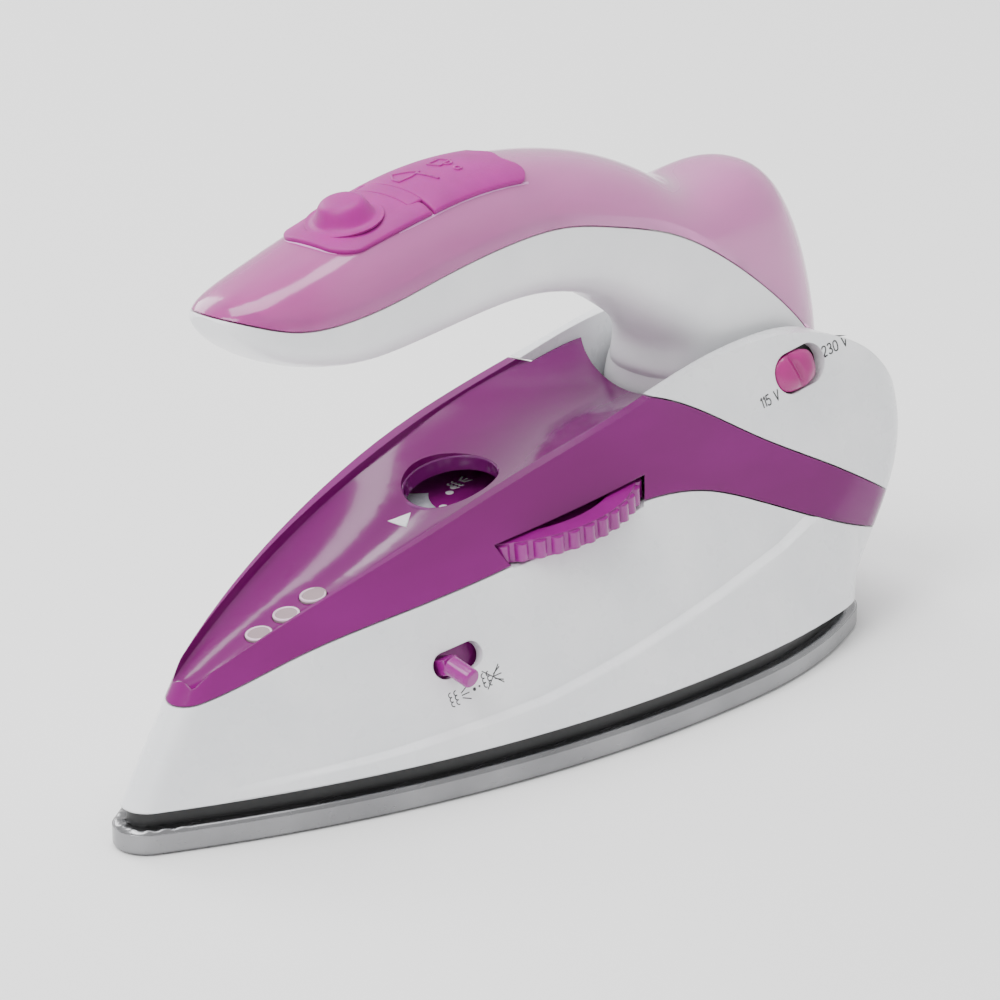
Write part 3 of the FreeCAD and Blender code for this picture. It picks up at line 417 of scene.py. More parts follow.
def make_object(name: str, points: np.ndarray, faces: np.ndarray, closed: bool = True,
                sharp: float = 35.0) -> bpy.types.Object:
    """Mesh object at the origin from points in metres.

    Args:
        name: the piece's name.
        points: an array of shape (n, 3).
        faces: an array of point numbers.
        closed: whether doubled points are merged and faces turned outward.
        sharp: angle in degrees above which an edge stays hard.

    Returns:
        The object, linked to the scene.
    """
    mesh = bpy.data.meshes.new(name)
    mesh.from_pydata(np.asarray(points, float).tolist(), [], np.asarray(faces).tolist())
    if closed:
        tidy(mesh, 1e-7)
    mesh.shade_smooth()
    mesh.set_sharp_from_angle(angle=math.radians(sharp))
    piece = bpy.data.objects.new(name, mesh)
    bpy.context.scene.collection.objects.link(piece)
    return piece


def sandwich(name: str, upper: np.ndarray, lower: np.ndarray, rows: int, columns: int,
             sharp: float = 35.0) -> bpy.types.Object:
    """Closed shell between two grids of points, walled along their border.

    Args:
        name: the piece's name.
        upper, lower: arrays of shape (rows * columns, 3).
        rows, columns: size of both grids.
        sharp: angle in degrees above which an edge stays hard.

    Returns:
        The object.
    """
    count = rows * columns
    faces = grid_faces(rows, columns)
    rim = np.concatenate([np.arange(columns), np.arange(1, rows) * columns + columns - 1,
                          (rows - 1) * columns + np.arange(columns - 2, -1, -1),
                          np.arange(rows - 2, 0, -1) * columns])
    ahead = np.roll(rim, -1)
    wall = np.stack([rim, ahead, ahead + count, rim + count], 1)
    return make_object(name, np.concatenate([upper, lower]),
                       np.concatenate([faces, faces[:, ::-1] + count, wall]), sharp=sharp)


def project(piece: bpy.types.Object, ground: bpy.types.Object, axis: str,
            limit: float = 0.0) -> None:
    """Adds a modifier that carries a piece onto a surface along one of its axes."""
    wrap = piece.modifiers.new("wrap", "SHRINKWRAP")
    wrap.wrap_method = "PROJECT"
    wrap.use_project_y = axis == "y"
    wrap.use_project_z = axis == "z"
    wrap.use_negative_direction = True
    wrap.use_positive_direction = True
    wrap.project_limit = limit
    wrap.target = ground


def rounded(turn: np.ndarray, power: float) -> tuple[np.ndarray, np.ndarray]:
    """Superellipse of unit size: sign times size to the power, of cosine and sine."""
    ways = (np.cos(turn), np.sin(turn))
    return tuple(np.sign(way) * np.abs(way) ** power for way in ways)


def evened(corners: np.ndarray, steps: int) -> np.ndarray:
    """Path through corners, with a number of even steps in all."""
    station = np.linspace(0, len(corners) - 1, steps)
    place = np.arange(len(corners))
    return np.stack([np.interp(station, place, corners[:, k]) for k in (0, 1)], 1)


def tidy(mesh: bpy.types.Mesh, reach: float) -> None:
    """Merges doubled points of a mesh and turns its faces outward."""
    work = bmesh.new()
    work.from_mesh(mesh)
    bmesh.ops.remove_doubles(work, verts=work.verts, dist=reach)
    bmesh.ops.dissolve_degenerate(work, dist=reach, edges=work.edges)
    bmesh.ops.recalc_face_normals(work, faces=work.faces)
    work.to_mesh(mesh)
    work.free()


def points_of(mesh: bpy.types.Mesh) -> np.ndarray:
    """All points of a mesh as an array."""
    flat = np.zeros(len(mesh.vertices) * 3, np.float32)
    mesh.vertices.foreach_get("co", flat)
    return flat.reshape(-1, 3).astype(float)


def normals_of(mesh: bpy.types.Mesh) -> np.ndarray:
    """All point normals of a mesh as an array."""
    flat = np.zeros(len(mesh.vertices) * 3, np.float32)
    mesh.vertex_normals.foreach_get("vector", flat)
    return flat.reshape(-1, 3).astype(float)


def bake(piece: bpy.types.Object) -> None:
    """Puts a piece's modifiers and place into its mesh."""
    bpy.context.view_layer.update()
    graph = bpy.context.evaluated_depsgraph_get()
    made = bpy.data.meshes.new_from_object(piece.evaluated_get(graph), depsgraph=graph)
    made.transform(piece.matrix_world)
    piece.modifiers.clear()
    piece.data = made
    piece.matrix_world = Matrix.Identity(4)


def close_poles(piece: bpy.types.Object, steps: int) -> None:
    """Fills the small rings at both ends of a grid and turns faces outward.

    Args:
        piece: a piece whose first and last rows are small rings.
        steps: points in a row.
    """
    work = bmesh.new()
    work.from_mesh(piece.data)
    work.verts.ensure_lookup_table()
    bmesh.ops.contextual_create(work, geom=work.verts[:steps])
    bmesh.ops.contextual_create(work, geom=work.verts[-steps:])
    bmesh.ops.recalc_face_normals(work, faces=work.faces)
    work.to_mesh(piece.data)
    work.free()
    piece.data.shade_smooth()
    piece.data.set_sharp_from_angle(angle=math.radians(50))


def lathe(name: str, profile: np.ndarray, spot: Vector, axis: Vector, steps: int = 48,
          sharp: float = 35.0) -> bpy.types.Object:
    """Closed body of revolution.

    The point at step t and profile station s is spot + axis * height(s)
    + radius(s) * (side * cos t + over * sin t); a profile that starts and
    ends on the axis closes at its poles.

    Args:
        name: the piece's name.
        profile: an array of (radius, height) in metres.
        spot: where height 0 lies.
        axis: unit direction of rising height.
        steps: steps round the axis.
        sharp: angle in degrees above which an edge stays hard.

    Returns:
        The object.
    """
    side = np.array(axis.orthogonal().normalized())
    up = np.array(axis)
    over = np.cross(up, side)
    turn = np.linspace(0, 2 * math.pi, steps, endpoint=False)[:, None, None]
    radius = profile[None, :, 0:1]
    height = profile[None, :, 1:2]
    points = np.array(spot) + up * height + radius * (side * np.cos(turn) + over * np.sin(turn))
    faces = grid_faces(steps, len(profile), wrap_rows=True)
    return make_object(name, points.reshape(-1, 3), faces, sharp=sharp)


@dataclass(frozen=True)
class Seat:
    """A place on a surface: origin, run along it and the way out of it."""

    origin: Vector
    run: Vector
    out: Vector

    def matrix(self) -> Matrix:
        """Matrix whose X is the run, Z the way out and Y up the surface."""
        out = self.out.normalized()
        run = (self.run - out * self.run.dot(out)).normalized()
        up = out.cross(run)
        turn = Matrix((run, up, out)).transposed().to_4x4()
        return Matrix.Translation(self.origin) @ turn


@dataclass
class Artwork:
    """Flat strokes, dots and filled shapes drawn in millimetres on a plane."""

    points: list[np.ndarray] = field(default_factory=list)
    faces: list[np.ndarray] = field(default_factory=list)
    count: int = 0

    def add(self, points: np.ndarray, faces: np.ndarray) -> None:
        """Adds one patch of points (n, 2) and its faces."""
        self.points.append(points)
        self.faces.append(faces + self.count)
        self.count += len(points)

    def stroke(self, path: np.ndarray, width: float) -> None:
        """Ribbon of one width along a path: each path point moved half the
        width to either side along the path's normal."""
        run = np.gradient(path, axis=0)
        run /= np.maximum(np.linalg.norm(run, axis=1, keepdims=True), 1e-9)
        side = np.stack([-run[:, 1], run[:, 0]], axis=1) * width / 2
        share = np.linspace(-1, 1, 3)[None, :, None]
        points = path[:, None, :] + side[:, None, :] * share
        self.add(points.reshape(-1, 2), grid_faces(len(path), 3)[:, ::-1])

    def line(self, start: Point, end: Point, width: float) -> None:
        """Straight stroke from one point to another."""
        share = np.linspace(0, 1, 6)[:, None]
        self.stroke(np.array(start) * (1 - share) + np.array(end) * share, width)

    def arc(self, centre: Point, radius: Point, start: float,
            end: float, width: float) -> None:
        """Stroke along part of an ellipse, angles in degrees."""
        turn = np.radians(np.linspace(start, end, 14))
        path = np.stack([centre[0] + radius[0] * np.cos(turn),
                         centre[1] + radius[1] * np.sin(turn)], axis=1)
        self.stroke(path, width)

    def dot(self, centre: Point, radius: float) -> None:
        """Filled disc: rings of points from a tiny middle ring outward."""
        turn = np.linspace(0, 2 * math.pi, 24, endpoint=False)[None, :]
        ring = np.linspace(0.02, 1, 4)[:, None] * radius
        points = np.stack([centre[0] + ring * np.cos(turn), centre[1] + ring * np.sin(turn)], -1)
        self.add(points.reshape(-1, 2), grid_faces(4, 24, wrap_columns=True))

    def fan(self, centre: Point, inner: float, outer: float, start: float,
            end: float) -> None:
        """Sector of a ring between two radii and two angles in degrees."""
        turn = np.radians(np.linspace(start, end, 30))[None, :]
        ring = np.linspace(inner, outer, 8)[:, None]
        points = np.stack([centre[0] + ring * np.cos(turn), centre[1] + ring * np.sin(turn)], -1)
        self.add(points.reshape(-1, 2), grid_faces(8, 30))

    def wedge(self, tip: Point, left: Point,
              right: Point) -> None:
        """Filled triangle: rows from the tip to the base, each spanning side to side."""
        down = np.linspace(0.02, 1, 10)[:, None, None]
        across = np.linspace(0, 1, 10)[None, :, None]
        base = np.array(left) * (1 - across) + np.array(right) * across
        points = np.array(tip) * (1 - down) + base * down
        self.add(points.reshape(-1, 2), grid_faces(10, 10))

    def steam(self, centre: Point, size: float, width: float,
              crossed: bool = False) -> None:
        """Steam sign: two scalloped curls and three spreading lines.

        Args:
            centre: middle of the sign.
            size: its height in millimetres.
            width: stroke width.
            crossed: whether two strokes cross it out.
        """
        x, y = centre
        for shift in (-0.62, -0.22):
            for step in (-0.3, 0.0, 0.3):
                self.arc((x + shift * size, y + step * size), (0.17 * size, 0.16 * size),
                         80, 280, width)
        for rise in (-0.26, 0.0, 0.26):
            self.line((x + 0.12 * size, y + rise * 0.6 * size),
                      (x + 0.72 * size, y + rise * 1.7 * size), width)
        if crossed:
            self.line((x - 0.62 * size, y + 0.62 * size), (x + 0.7 * size, y - 0.62 * size), width)
            self.line((x - 0.62 * size, y - 0.62 * size), (x + 0.7 * size, y + 0.62 * size), width)

    def figure(self, sign: str, left: float, height: float, width: float) -> float:
        """One plain stroke-drawn figure or letter.

        Args:
            sign: one of the signs in FIGURES.
            left: where it starts.
            height: its height.
            width: stroke width.

        Returns:
            Where the next sign starts.
        """
        wide = height * 0.5
        for path in FIGURES[sign]:
            corners = np.array(path, float) * (wide, height) + (left, -height / 2)
            self.stroke(evened(corners, 8 * (len(corners) - 1) + 1), width)
        return left + wide * (0.75 if sign == "1" else 1.42)

    def lay(self, name: str, seat: Seat, ground: bpy.types.Object, thick: float,
            sink: float = 0.35) -> bpy.types.Object:
        """Lays the artwork on a surface and gives it thickness.

        Each point is carried straight along the seat's way out until it meets
        the ground, then the sheet is thickened, part of it below the surface.

        Args:
            name: the piece's name.
            seat: where the drawing's origin lies.
            ground: the object it lies on.
            thick: thickness in metres.
            sink: share of the thickness below the surface.

        Returns:
            The finished piece.
        """
        flat = np.concatenate(self.points) * MM
        points = np.concatenate([flat, np.zeros((len(flat), 1))], axis=1)
        piece = make_object(name, points, np.concatenate(self.faces), closed=False)
        piece.matrix_world = seat.matrix()
        project(piece, ground, "z", REACH)
        body = piece.modifiers.new("body", "SOLIDIFY")
        body.thickness = thick
        body.offset = 1.0 - 2.0 * sink
        bake(piece)
        return piece


FIGURES: dict[str, list[list[Point]]] = {
    "0": [[(0.5, 0.0), (0.12, 0.1), (0.0, 0.35), (0.0, 0.65), (0.12, 0.9), (0.5, 1.0),
           (0.88, 0.9), (1.0, 0.65), (1.0, 0.35), (0.88, 0.1), (0.5, 0.0)]],
    "1": [[(0.05, 0.76), (0.42, 1.0), (0.42, 0.0)]],
    "2": [[(0.0, 0.78), (0.15, 0.95), (0.5, 1.0), (0.88, 0.92), (0.95, 0.7), (0.75, 0.48),
           (0.0, 0.02), (1.0, 0.02)]],
    "3": [[(0.0, 0.86), (0.3, 1.0), (0.72, 0.98), (0.92, 0.8), (0.8, 0.6), (0.4, 0.52),
           (0.85, 0.44), (1.0, 0.24), (0.8, 0.04), (0.35, 0.0), (0.0, 0.14)]],
    "5": [[(0.92, 0.98), (0.16, 0.98), (0.08, 0.56), (0.5, 0.64), (0.9, 0.52), (1.0, 0.28),
           (0.82, 0.05), (0.4, 0.0), (0.0, 0.12)]],
    "V": [[(-0.05, 1.0), (0.5, 0.0), (1.05, 1.0)]],
}


def written(text: str, height: float, width: float) -> Artwork:
    """Artwork of a short line of figures, starting at the drawing's origin."""
    art = Artwork()
    left = 0.0
    for sign in text:
        if sign == " ":
            left += height * 0.45
        else:
            left = art.figure(sign, left, height, width)
    return art


# ------------------------------------------------------- carried-over nodes
@dataclass
class SmoothSkin:
    """Smooth copy of a CAD node, with its flats merged and its edges kept hard."""

    node: str
    body: str
    finish: Finish
    slot: str
    sharp: float = 32.0

    def build(self) -> bpy.types.Object:
        """Copies the node's mesh, merges it and stands it in for the node."""
        mesh = frame["nodes"][self.node].data.copy()
        mesh.name = self.node + "_skin"
        work = bmesh.new()
        work.from_mesh(mesh)
        bmesh.ops.remove_doubles(work, verts=work.verts, dist=2e-7)
        work.to_mesh(mesh)
        work.free()
        if mesh.has_custom_normals:
            mesh.attributes.remove(mesh.attributes["custom_normal"])
        mesh.shade_smooth()
        mesh.set_sharp_from_angle(angle=math.radians(self.sharp))
        piece = bpy.data.objects.new(self.node + "_skin", mesh)
        bpy.context.scene.collection.objects.link(piece)
        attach(piece, self.body)
        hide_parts(self.node)
        PAINTS.dress(piece, self.finish)
        return piece


@dataclass
class PlainNodes:
    """CAD nodes whose shape stays as it is, with the finish of each."""

    finishes: dict[str, Finish] = field(default_factory=lambda: {
        "sole_casting": Finish.CASTING, "heating_element": Finish.HEATER,
        "chamber_lid": Finish.CASTING, "sole_screws": Finish.SCREW,
        "thermostat_frame": Finish.SCREW, "thermostat_contacts": Finish.BRASS,
        "thermal_fuse": Finish.SCREW, "terminal_block": Finish.NYLON,
        "lamp_board": Finish.BOARD, "voltage_switch": Finish.SHIELD,
        "cord_bush": Finish.RUBBER, "pivot_pin": Finish.NYLON, "fold_washers": Finish.NYLON,
        "feed_hose": Finish.HOSE, "dial_spindle": Finish.NYLON, "steam_valve": Finish.BRASS,
        "feed_tube": Finish.HOSE, "grip_screws": Finish.SCREW, "pump_body": Finish.NYLON,
        "pump_spring": Finish.SCREW})

    def dress(self) -> None:
        """Gives every node its finish."""
        for node, finish in self.finishes.items():
            PAINTS.dress(frame["nodes"][node], finish)


# --------------------------------------------------------------- lower body
@dataclass
class SoleGroup:
    """Sole plate, its folded edge and the heat shield."""

    def build(self) -> None:
        """Builds the visible skins of the hot end."""
        skin = SmoothSkin("soleplate_skin", "base", Finish.SOLE, "sole_steel", 40).build()
        SmoothSkin("heat_shield", "base", Finish.SHIELD, "shield_black").build()
        self.rolled_edge(skin)

    def rolled_edge(self, skin: bpy.types.Object) -> None:
        """Steel edge folded in over the casting, crimped at the nose.

        The outline is the skin's farthest point in each of many directions,
        evened out along its length. The fold's section is carried round it:
        up the wall, over a quarter round and inward, and near the nose each
        section shrinks and swells with a slow wave, as folded sheet does.
        """
        flat = points_of(skin.data)[:, :2]
        steps = 720
        turn = np.linspace(0, 2 * math.pi, 2 * steps, endpoint=False)
        ways = np.stack([np.cos(turn), np.sin(turn)], 1)
        line = flat[np.argmax(ways @ flat.T, axis=1)]
        line = np.concatenate([line, line[:1]])
        length = np.concatenate([[0], np.cumsum(np.linalg.norm(np.diff(line, axis=0), axis=1))])
        keep = np.concatenate([[True], np.diff(length) > 1e-7])
        even = np.linspace(0, length[-1], steps, endpoint=False)
        ring = np.stack([np.interp(even, length[keep], line[keep, k]) for k in (0, 1)], 1)
        for _ in range(3):
            ring = (np.roll(ring, 1, 0) + 2 * ring + np.roll(ring, -1, 0)) / 4
        ahead = np.roll(ring, -1, 0) - np.roll(ring, 1, 0)
        out = np.stack([ahead[:, 1], -ahead[:, 0]], 1)
        out /= np.linalg.norm(out, axis=1, keepdims=True)
        arc = np.linspace(0, math.pi / 2, 8)
        bend = 1.1
        over = np.stack([bend * np.cos(arc) - bend, 3.6 + bend * np.sin(arc)], 1)
        lip = np.array([(-1.9, 4.72), (-2.55, 4.6), (-2.6, 4.2), (-0.5, 4.0), (-0.5, 2.6),
                        (0, 2.6)])
        section = np.concatenate([over, lip])
        nose = np.clip((-0.079 - ring[:, 0]) / 0.006, 0, 1) ** 1.2
        wave = nose * np.sin(np.arange(steps) * 1.15) * 0.16
        grown = np.zeros((steps, len(section)))
        grown[:, 5:10] = wave[:, None]
        reach = (section[None, :, 0] + grown - 0.02) * MM
        points = np.empty((steps, len(section), 3))
        points[:, :, :2] = ring[:, None, :] + out[:, None, :] * reach[:, :, None]
        points[:, :, 2] = (section[None, :, 1] + grown * 0.7) * MM
        piece = make_object("sole_roll", points.reshape(-1, 3),
                            grid_faces(steps, len(section), wrap_rows=True, wrap_columns=True),
                            sharp=60)
        PAINTS.dress(piece, Finish.SOLE)
        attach(piece, "base")


@dataclass
class SwooshPanel:
    """Proud lower flank whose soft upper edge sweeps up towards the heel."""

    side: int
    ground: bpy.types.Object
    crease: tuple[Point, ...] = (
        (-78.0, 10.2), (-59.0, 10.9), (-43.0, 11.6), (-29.0, 12.7), (-10.0, 14.2),
        (11.0, 17.4), (36.0, 21.6), (58.0, 25.4), (72.0, 29.4), (90.0, 36.0))
    seam: tuple[Point, ...] = (
        (-90.0, 24.0), (25.5, 41.3), (42.2, 39.2), (54.2, 34.6), (64.0, 30.1), (74.0, 25.6),
        (86.0, 21.0))
    foot: float = 7.8
    proud: float = 1.7
    sheet: float = 0.4
    grid: tuple[int, int] = (260, 40)
    blend_height: float = 1.5

    def build(self) -> bpy.types.Object:
        """Grid of stations along the flank and shares from foot to crease.

        A point starts at (x, far side, foot + share * (top(x) - foot)), where
        top is the lower of crease and seam, is carried across to the flank,
        and then stands proud of it along the surface normal by
        proud * rise(distance below the crease) * taper(x).
        """
        place = np.array(self.crease)
        edge = np.array(self.seam)
        rows, columns = self.grid
        x = np.linspace(-76.0, 84.0, rows)[:, None]
        share = np.linspace(0.0, 1.0, columns)[None, :]
        line = np.interp(x, place[:, 0], place[:, 1])
        top = np.minimum(line, np.interp(x, edge[:, 0], edge[:, 1]) - 0.5)
        z = self.foot + share * (top - self.foot)
        flat = np.stack([np.broadcast_to(x, z.shape), np.full(z.shape, self.side * 70.0), z], -1)
        name = "flank_" + ("near" if self.side < 0 else "far")
        piece = make_object(name, flat.reshape(-1, 3) * MM, grid_faces(rows, columns),
                            closed=False)
        project(piece, self.ground, "y")
        bake(piece)
        mesh = piece.data
        points = points_of(mesh)
        normals = normals_of(mesh)
        normals *= np.sign(normals[:, 1:2] * self.side)
        below = (line - z).reshape(-1)
        grown = np.clip(below / self.blend_height, 0, 1)
        rise = grown * grown * (3 - 2 * grown)
        along = np.broadcast_to(x, z.shape).reshape(-1)
        taper = np.clip((along + 74) / 50, 0, 1) * np.clip((83 - along) / 10, 0, 1)
        taper = taper * (2 - taper)
        lift = (self.proud * rise * taper - 0.04) * MM
        bpy.data.objects.remove(piece)
        shell = sandwich(name, points + normals * lift[:, None],
                         points - normals * self.sheet * MM, rows, columns)
        PAINTS.dress(shell, Finish.HOUSING)
        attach(shell, "base")
        return shell


@dataclass
class BodyGroup:
    """White housing, see-through cover and what is printed on them."""

    def build(self) -> None:
        """Builds housings, flanks, lenses and prints."""
        lower = SmoothSkin("lower_housing", "base", Finish.HOUSING, "housing_white").build()
        rear = SmoothSkin("rear_housing", "base", Finish.HOUSING, "housing_white").build()
        cover = SmoothSkin("top_cover", "base", Finish.COVER, "cover_magenta").build()
        SmoothSkin("pilot_lenses", "base", Finish.LENS, "lens_clear").build()
        SwooshPanel(-1, lower).build()
        SwooshPanel(1, lower).build()
        self.lever_signs(lower)
        self.voltage_signs(rear)
        self.pointer(cover)
        self.window_well(cover)
        self.lens_highlight_rings()

    def lever_signs(self, ground: bpy.types.Object) -> None:
        """Steam sign, shrinking dots and crossed-out steam sign below the lever."""
        art = Artwork()
        art.steam((1.4, 0.4), 2.9, 0.2)
        art.dot((4.7, 0.5), 0.34)
        art.dot((5.9, 0.65), 0.2)
        art.dot((6.9, 0.75), 0.1)
        art.steam((9.2, 1.2), 2.9, 0.2, crossed=True)
        run = Vector(joint("lever_slide")["axis"])
        seat = Seat(Vector((-0.0285, -0.0252, 0.0173)), run, Vector(LEVER_OUT))
        piece = art.lay("lever_signs", seat, ground, INK)
        self.print_on(piece, Finish.INK_GREY)

    def voltage_signs(self, ground: bpy.types.Object) -> None:
        """Voltage figures on either side of the selector, rising with it."""
        low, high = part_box("voltage_knob")
        middle = (low + high) / 2
        run = Vector(joint("voltage_slide")["axis"])
        out = Vector(SELECTOR_OUT)
        up = out.cross(run)
        for name, text, shift, lift in (("volts_low", "115 V", -11.6, -1.6),
                                        ("volts_high", "230 V", 7.4, 1.4)):
            origin = middle + (run * shift + up * lift) * MM
            origin.y = low.y
            seat = Seat(origin, run, out)
            piece = written(text, 2.1, 0.3).lay(name, seat, ground, INK)
            self.print_on(piece, Finish.INK_GREY)

    def pointer(self, ground: bpy.types.Object) -> None:
        """White triangle that points at the window."""
        art = Artwork()
        art.wedge((2.2, 0.0), (-1.8, 2.4), (-1.8, -2.4))
        seat = Seat(Vector((-0.0157, 0.0, 0.0437)), Vector((1, 0, 0.3)), Vector((-0.28, 0, 0.96)))
        piece = art.lay("dial_pointer", seat, ground, INK)
        self.print_on(piece, Finish.INK_WHITE)

    def print_on(self, piece: bpy.types.Object, ink: Finish) -> None:
        """Dresses a print and lets it ride with the body."""
        PAINTS.dress(piece, ink)
        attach(piece, "base")

    def window_well(self, ground: bpy.types.Object) -> None:
        """Short tube below the window, down to just above the dial."""
        tilt = math.radians(14.5)
        axis = Vector((-math.sin(tilt), 0, math.cos(tilt)))
        spot = Vector((-0.0024, 0, 0.0473))
        out, bore = 10.3 * MM, 9.15 * MM
        top, foot = -0.35 * MM, -3.5 * MM
        lip = 0.25 * MM
        profile = np.array([(bore, foot), (bore, top - lip), (bore + lip, top), (out - lip, top),
                            (out, top - lip), (out, foot), (bore, foot)])
        piece = lathe("window_well", profile, spot, axis, 72)
        PAINTS.dress(piece, Finish.WELL)
        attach(piece, "base")

    def lens_highlight_rings(self) -> None:
        """Small raised ring round the eye of each pilot lamp lens, coloured near white as a painted
        highlight.

        Each ring is half a torus: radius middle + bead * cos t, height
        bead * sin t, closed underneath.
        """
        low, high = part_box("pilot_lenses")
        slope = math.atan2(high.z - low.z - 4.6 * MM, high.x - low.x - 5.4 * MM)
        axis = Vector((-math.sin(slope), 0, math.cos(slope)))
        turn = np.linspace(0, math.pi, 9)
        bead = 0.26
        arch = np.stack([2.3 + bead * np.cos(turn), bead * 0.9 * np.sin(turn)], 1)
        floor = np.array([(2.3 - bead, -0.2), (2.3 + bead, -0.2), (2.3 + bead, 0.0)])
        profile = np.concatenate([arch, floor]) * MM
        for number, (x, z) in enumerate(((-54.3, 31.4), (-47.1, 33.1), (-40.0, 34.7))):
            spot = Vector((x, 0, z)) * MM
            ring = lathe(f"lens_highlight_ring_{number + 1}", profile, spot + axis * 0.0003, axis, 40)
            # the ring's near-white colour is a painted highlight
            PAINTS.dress(ring, Finish.LENS_HIGHLIGHT_RING)
            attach(ring, "base")


def joint(name: str) -> dict:
    """The record's joint of that name."""
    return next(j for j in frame["joints"] if j["name"] == name)


# ----------------------------------------------------------------- controls
@dataclass
class ControlGroup:
    """Temperature dial, steam lever and voltage selector."""

    def build(self) -> None:
        """Builds the controls and the dial's printed face."""
        dial = SmoothSkin("temperature_dial", "dial", Finish.CONTROL, "control_magenta", 28).build()
        SmoothSkin("steam_lever", "lever", Finish.CONTROL, "control_magenta").build()
        self.voltage_knob()
        self.lever_plate()
        self.dial_face(dial)

    def voltage_knob(self) -> None:
        """Selector cap: a crowned oval with a groove across its middle.

        At ring r and angle t the plan point is r times a superellipse, and the
        height is top - crown * r^4 - groove * exp(-(u / width)^2), closed by a
        wall down to the foot.
        """
        run = np.array(joint("voltage_slide")["axis"])
        out = np.array(SELECTOR_OUT)
        up = np.cross(out, run)
        cad = points_of(frame["nodes"]["voltage_knob"].data)
        low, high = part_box("voltage_knob")
        middle = np.array((low + high) / 2)
        rise = (cad - middle) @ out
        long = np.abs((cad - middle) @ run).max() * 0.985
        tall = np.abs((cad - middle) @ up).max() * 0.985
        turn = np.linspace(0, 2 * math.pi, 96, endpoint=False)[None, :]
        ring = np.linspace(0.01, 1.0, 36)[:, None]
        wide, high_side = rounded(turn, 2 / 2.7)
        u = ring * long * wide
        v = ring * tall * high_side
        groove = 1.1 * MM * np.exp(-((u + v * 0.25) / (0.75 * MM)) ** 2)
        height = rise.max() - 1.3 * MM * ring ** 4 - groove * (1 - ring ** 6)
        foot = np.full((1, 96), rise.min() + 0.2 * MM)
        u = np.concatenate([u, u[-1:], u[-1:] * 0.02])
        v = np.concatenate([v, v[-1:], v[-1:] * 0.02])
        height = np.concatenate([height, foot, foot])
        points = middle + u[..., None] * run + v[..., None] * up + height[..., None] * out
        piece = make_object("selector_cap", points.reshape(-1, 3),
                            grid_faces(38, 96, wrap_columns=True), closed=False, sharp=50)
        close_poles(piece, 96)
        PAINTS.dress(piece, Finish.KNOB)
        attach(piece, "selector")
        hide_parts("voltage_knob")

    def lever_plate(self) -> None:
        """Thin slide behind the lever's slot, drawn as a rounded bar."""
        run = Vector(joint("lever_slide")["axis"])
        out = Vector(LEVER_OUT)
        spot = Vector((-0.0254, -0.02278, 0.0238)) - out * 0.0036 + run * 0.0026
        turn = np.linspace(0, 2 * math.pi, 64, endpoint=False)[None, :]
        ring = np.array([0.01, 0.5, 0.96, 1.0, 1.0, 0.96, 0.5, 0.01])[:, None]
        depth = np.array([0.0, 0.0, 0.0, -0.12, -0.42, -0.54, -0.54, -0.54])[:, None] * MM
        wide, high = rounded(turn, 0.5)
        u = ring * 5.2 * MM * wide
        v = ring * 3.6 * MM * high
        side = np.array(out.cross(run))
        points = (np.array(spot) + u[..., None] * np.array(run) + v[..., None] * side
                  + (depth + 0 * u)[..., None] * np.array(out))
        piece = make_object("lever_plate", points.reshape(-1, 3),
                            grid_faces(8, 64, wrap_columns=True), closed=False)
        close_poles(piece, 64)
        PAINTS.dress(piece, Finish.CONTROL)
        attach(piece, "lever")

    def dial_top(self, ground: bpy.types.Object, record: dict) -> float:
        """Height just above the dial's flat face, along its axis, in metres."""
        way = np.array(record["axis"], float)
        way /= np.linalg.norm(way)
        spots = points_of(ground.data) - np.array(record["pos_m"])
        height = spots @ way
        reach = np.linalg.norm(spots - height[:, None] * way, axis=1)
        return float(height[(reach > 0.009) & (reach < 0.024)].max()) + 0.0006

    def dial_face(self, ground: bpy.types.Object) -> None:
        """Silver sector with ticks, white dots and a steam sign, all about the
        dial's axis, so that they turn under the window."""
        record = joint("dial_turn")
        out = Vector(record["axis"])
        centre = Vector(record["pos_m"]) + out * self.dial_top(ground, record)
        seat = Seat(centre, Vector((1, 0, 0)), out)
        silver = Artwork()
        silver.fan((0, 0), 12.6, 21.5, 128, 172)
        ticks = Artwork()
        for angle in range(132, 170, 6):
            a = math.radians(angle)
            ticks.line((13.6 * math.cos(a), 13.6 * math.sin(a)),
                       (15.4 * math.cos(a), 15.4 * math.sin(a)), 0.3)
        white = Artwork()
        for angle, radius, size in ((163, 11.3, 0.85), (181, 11.4, 0.85), (186, 13.6, 0.85),
                                    (204, 11.4, 0.85), (209, 13.6, 0.85), (214, 15.8, 0.85)):
            a = math.radians(angle)
            white.dot((radius * math.cos(a), radius * math.sin(a)), size)
        white.steam((-8.6, -1.8), 3.2, 0.42)
        white.steam((-5.4, -9.4), 3.2, 0.42)
        white.steam((-0.6, 8.2), 3.0, 0.5)
        white.dot((-5.4, 6.6), 0.8)
        white.dot((-3.2, 7.6), 0.7)
        for art, name, ink in ((silver, "dial_sector", Finish.INK_SILVER),
                               (ticks, "dial_ticks", Finish.INK_GREY),
                               (white, "dial_marks", Finish.INK_WHITE)):
            lift = 0.00006 if art is silver else 0.00012
            piece = art.lay(name, seat, ground, lift, 0.25)
            PAINTS.dress(piece, ink)
            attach(piece, "dial")


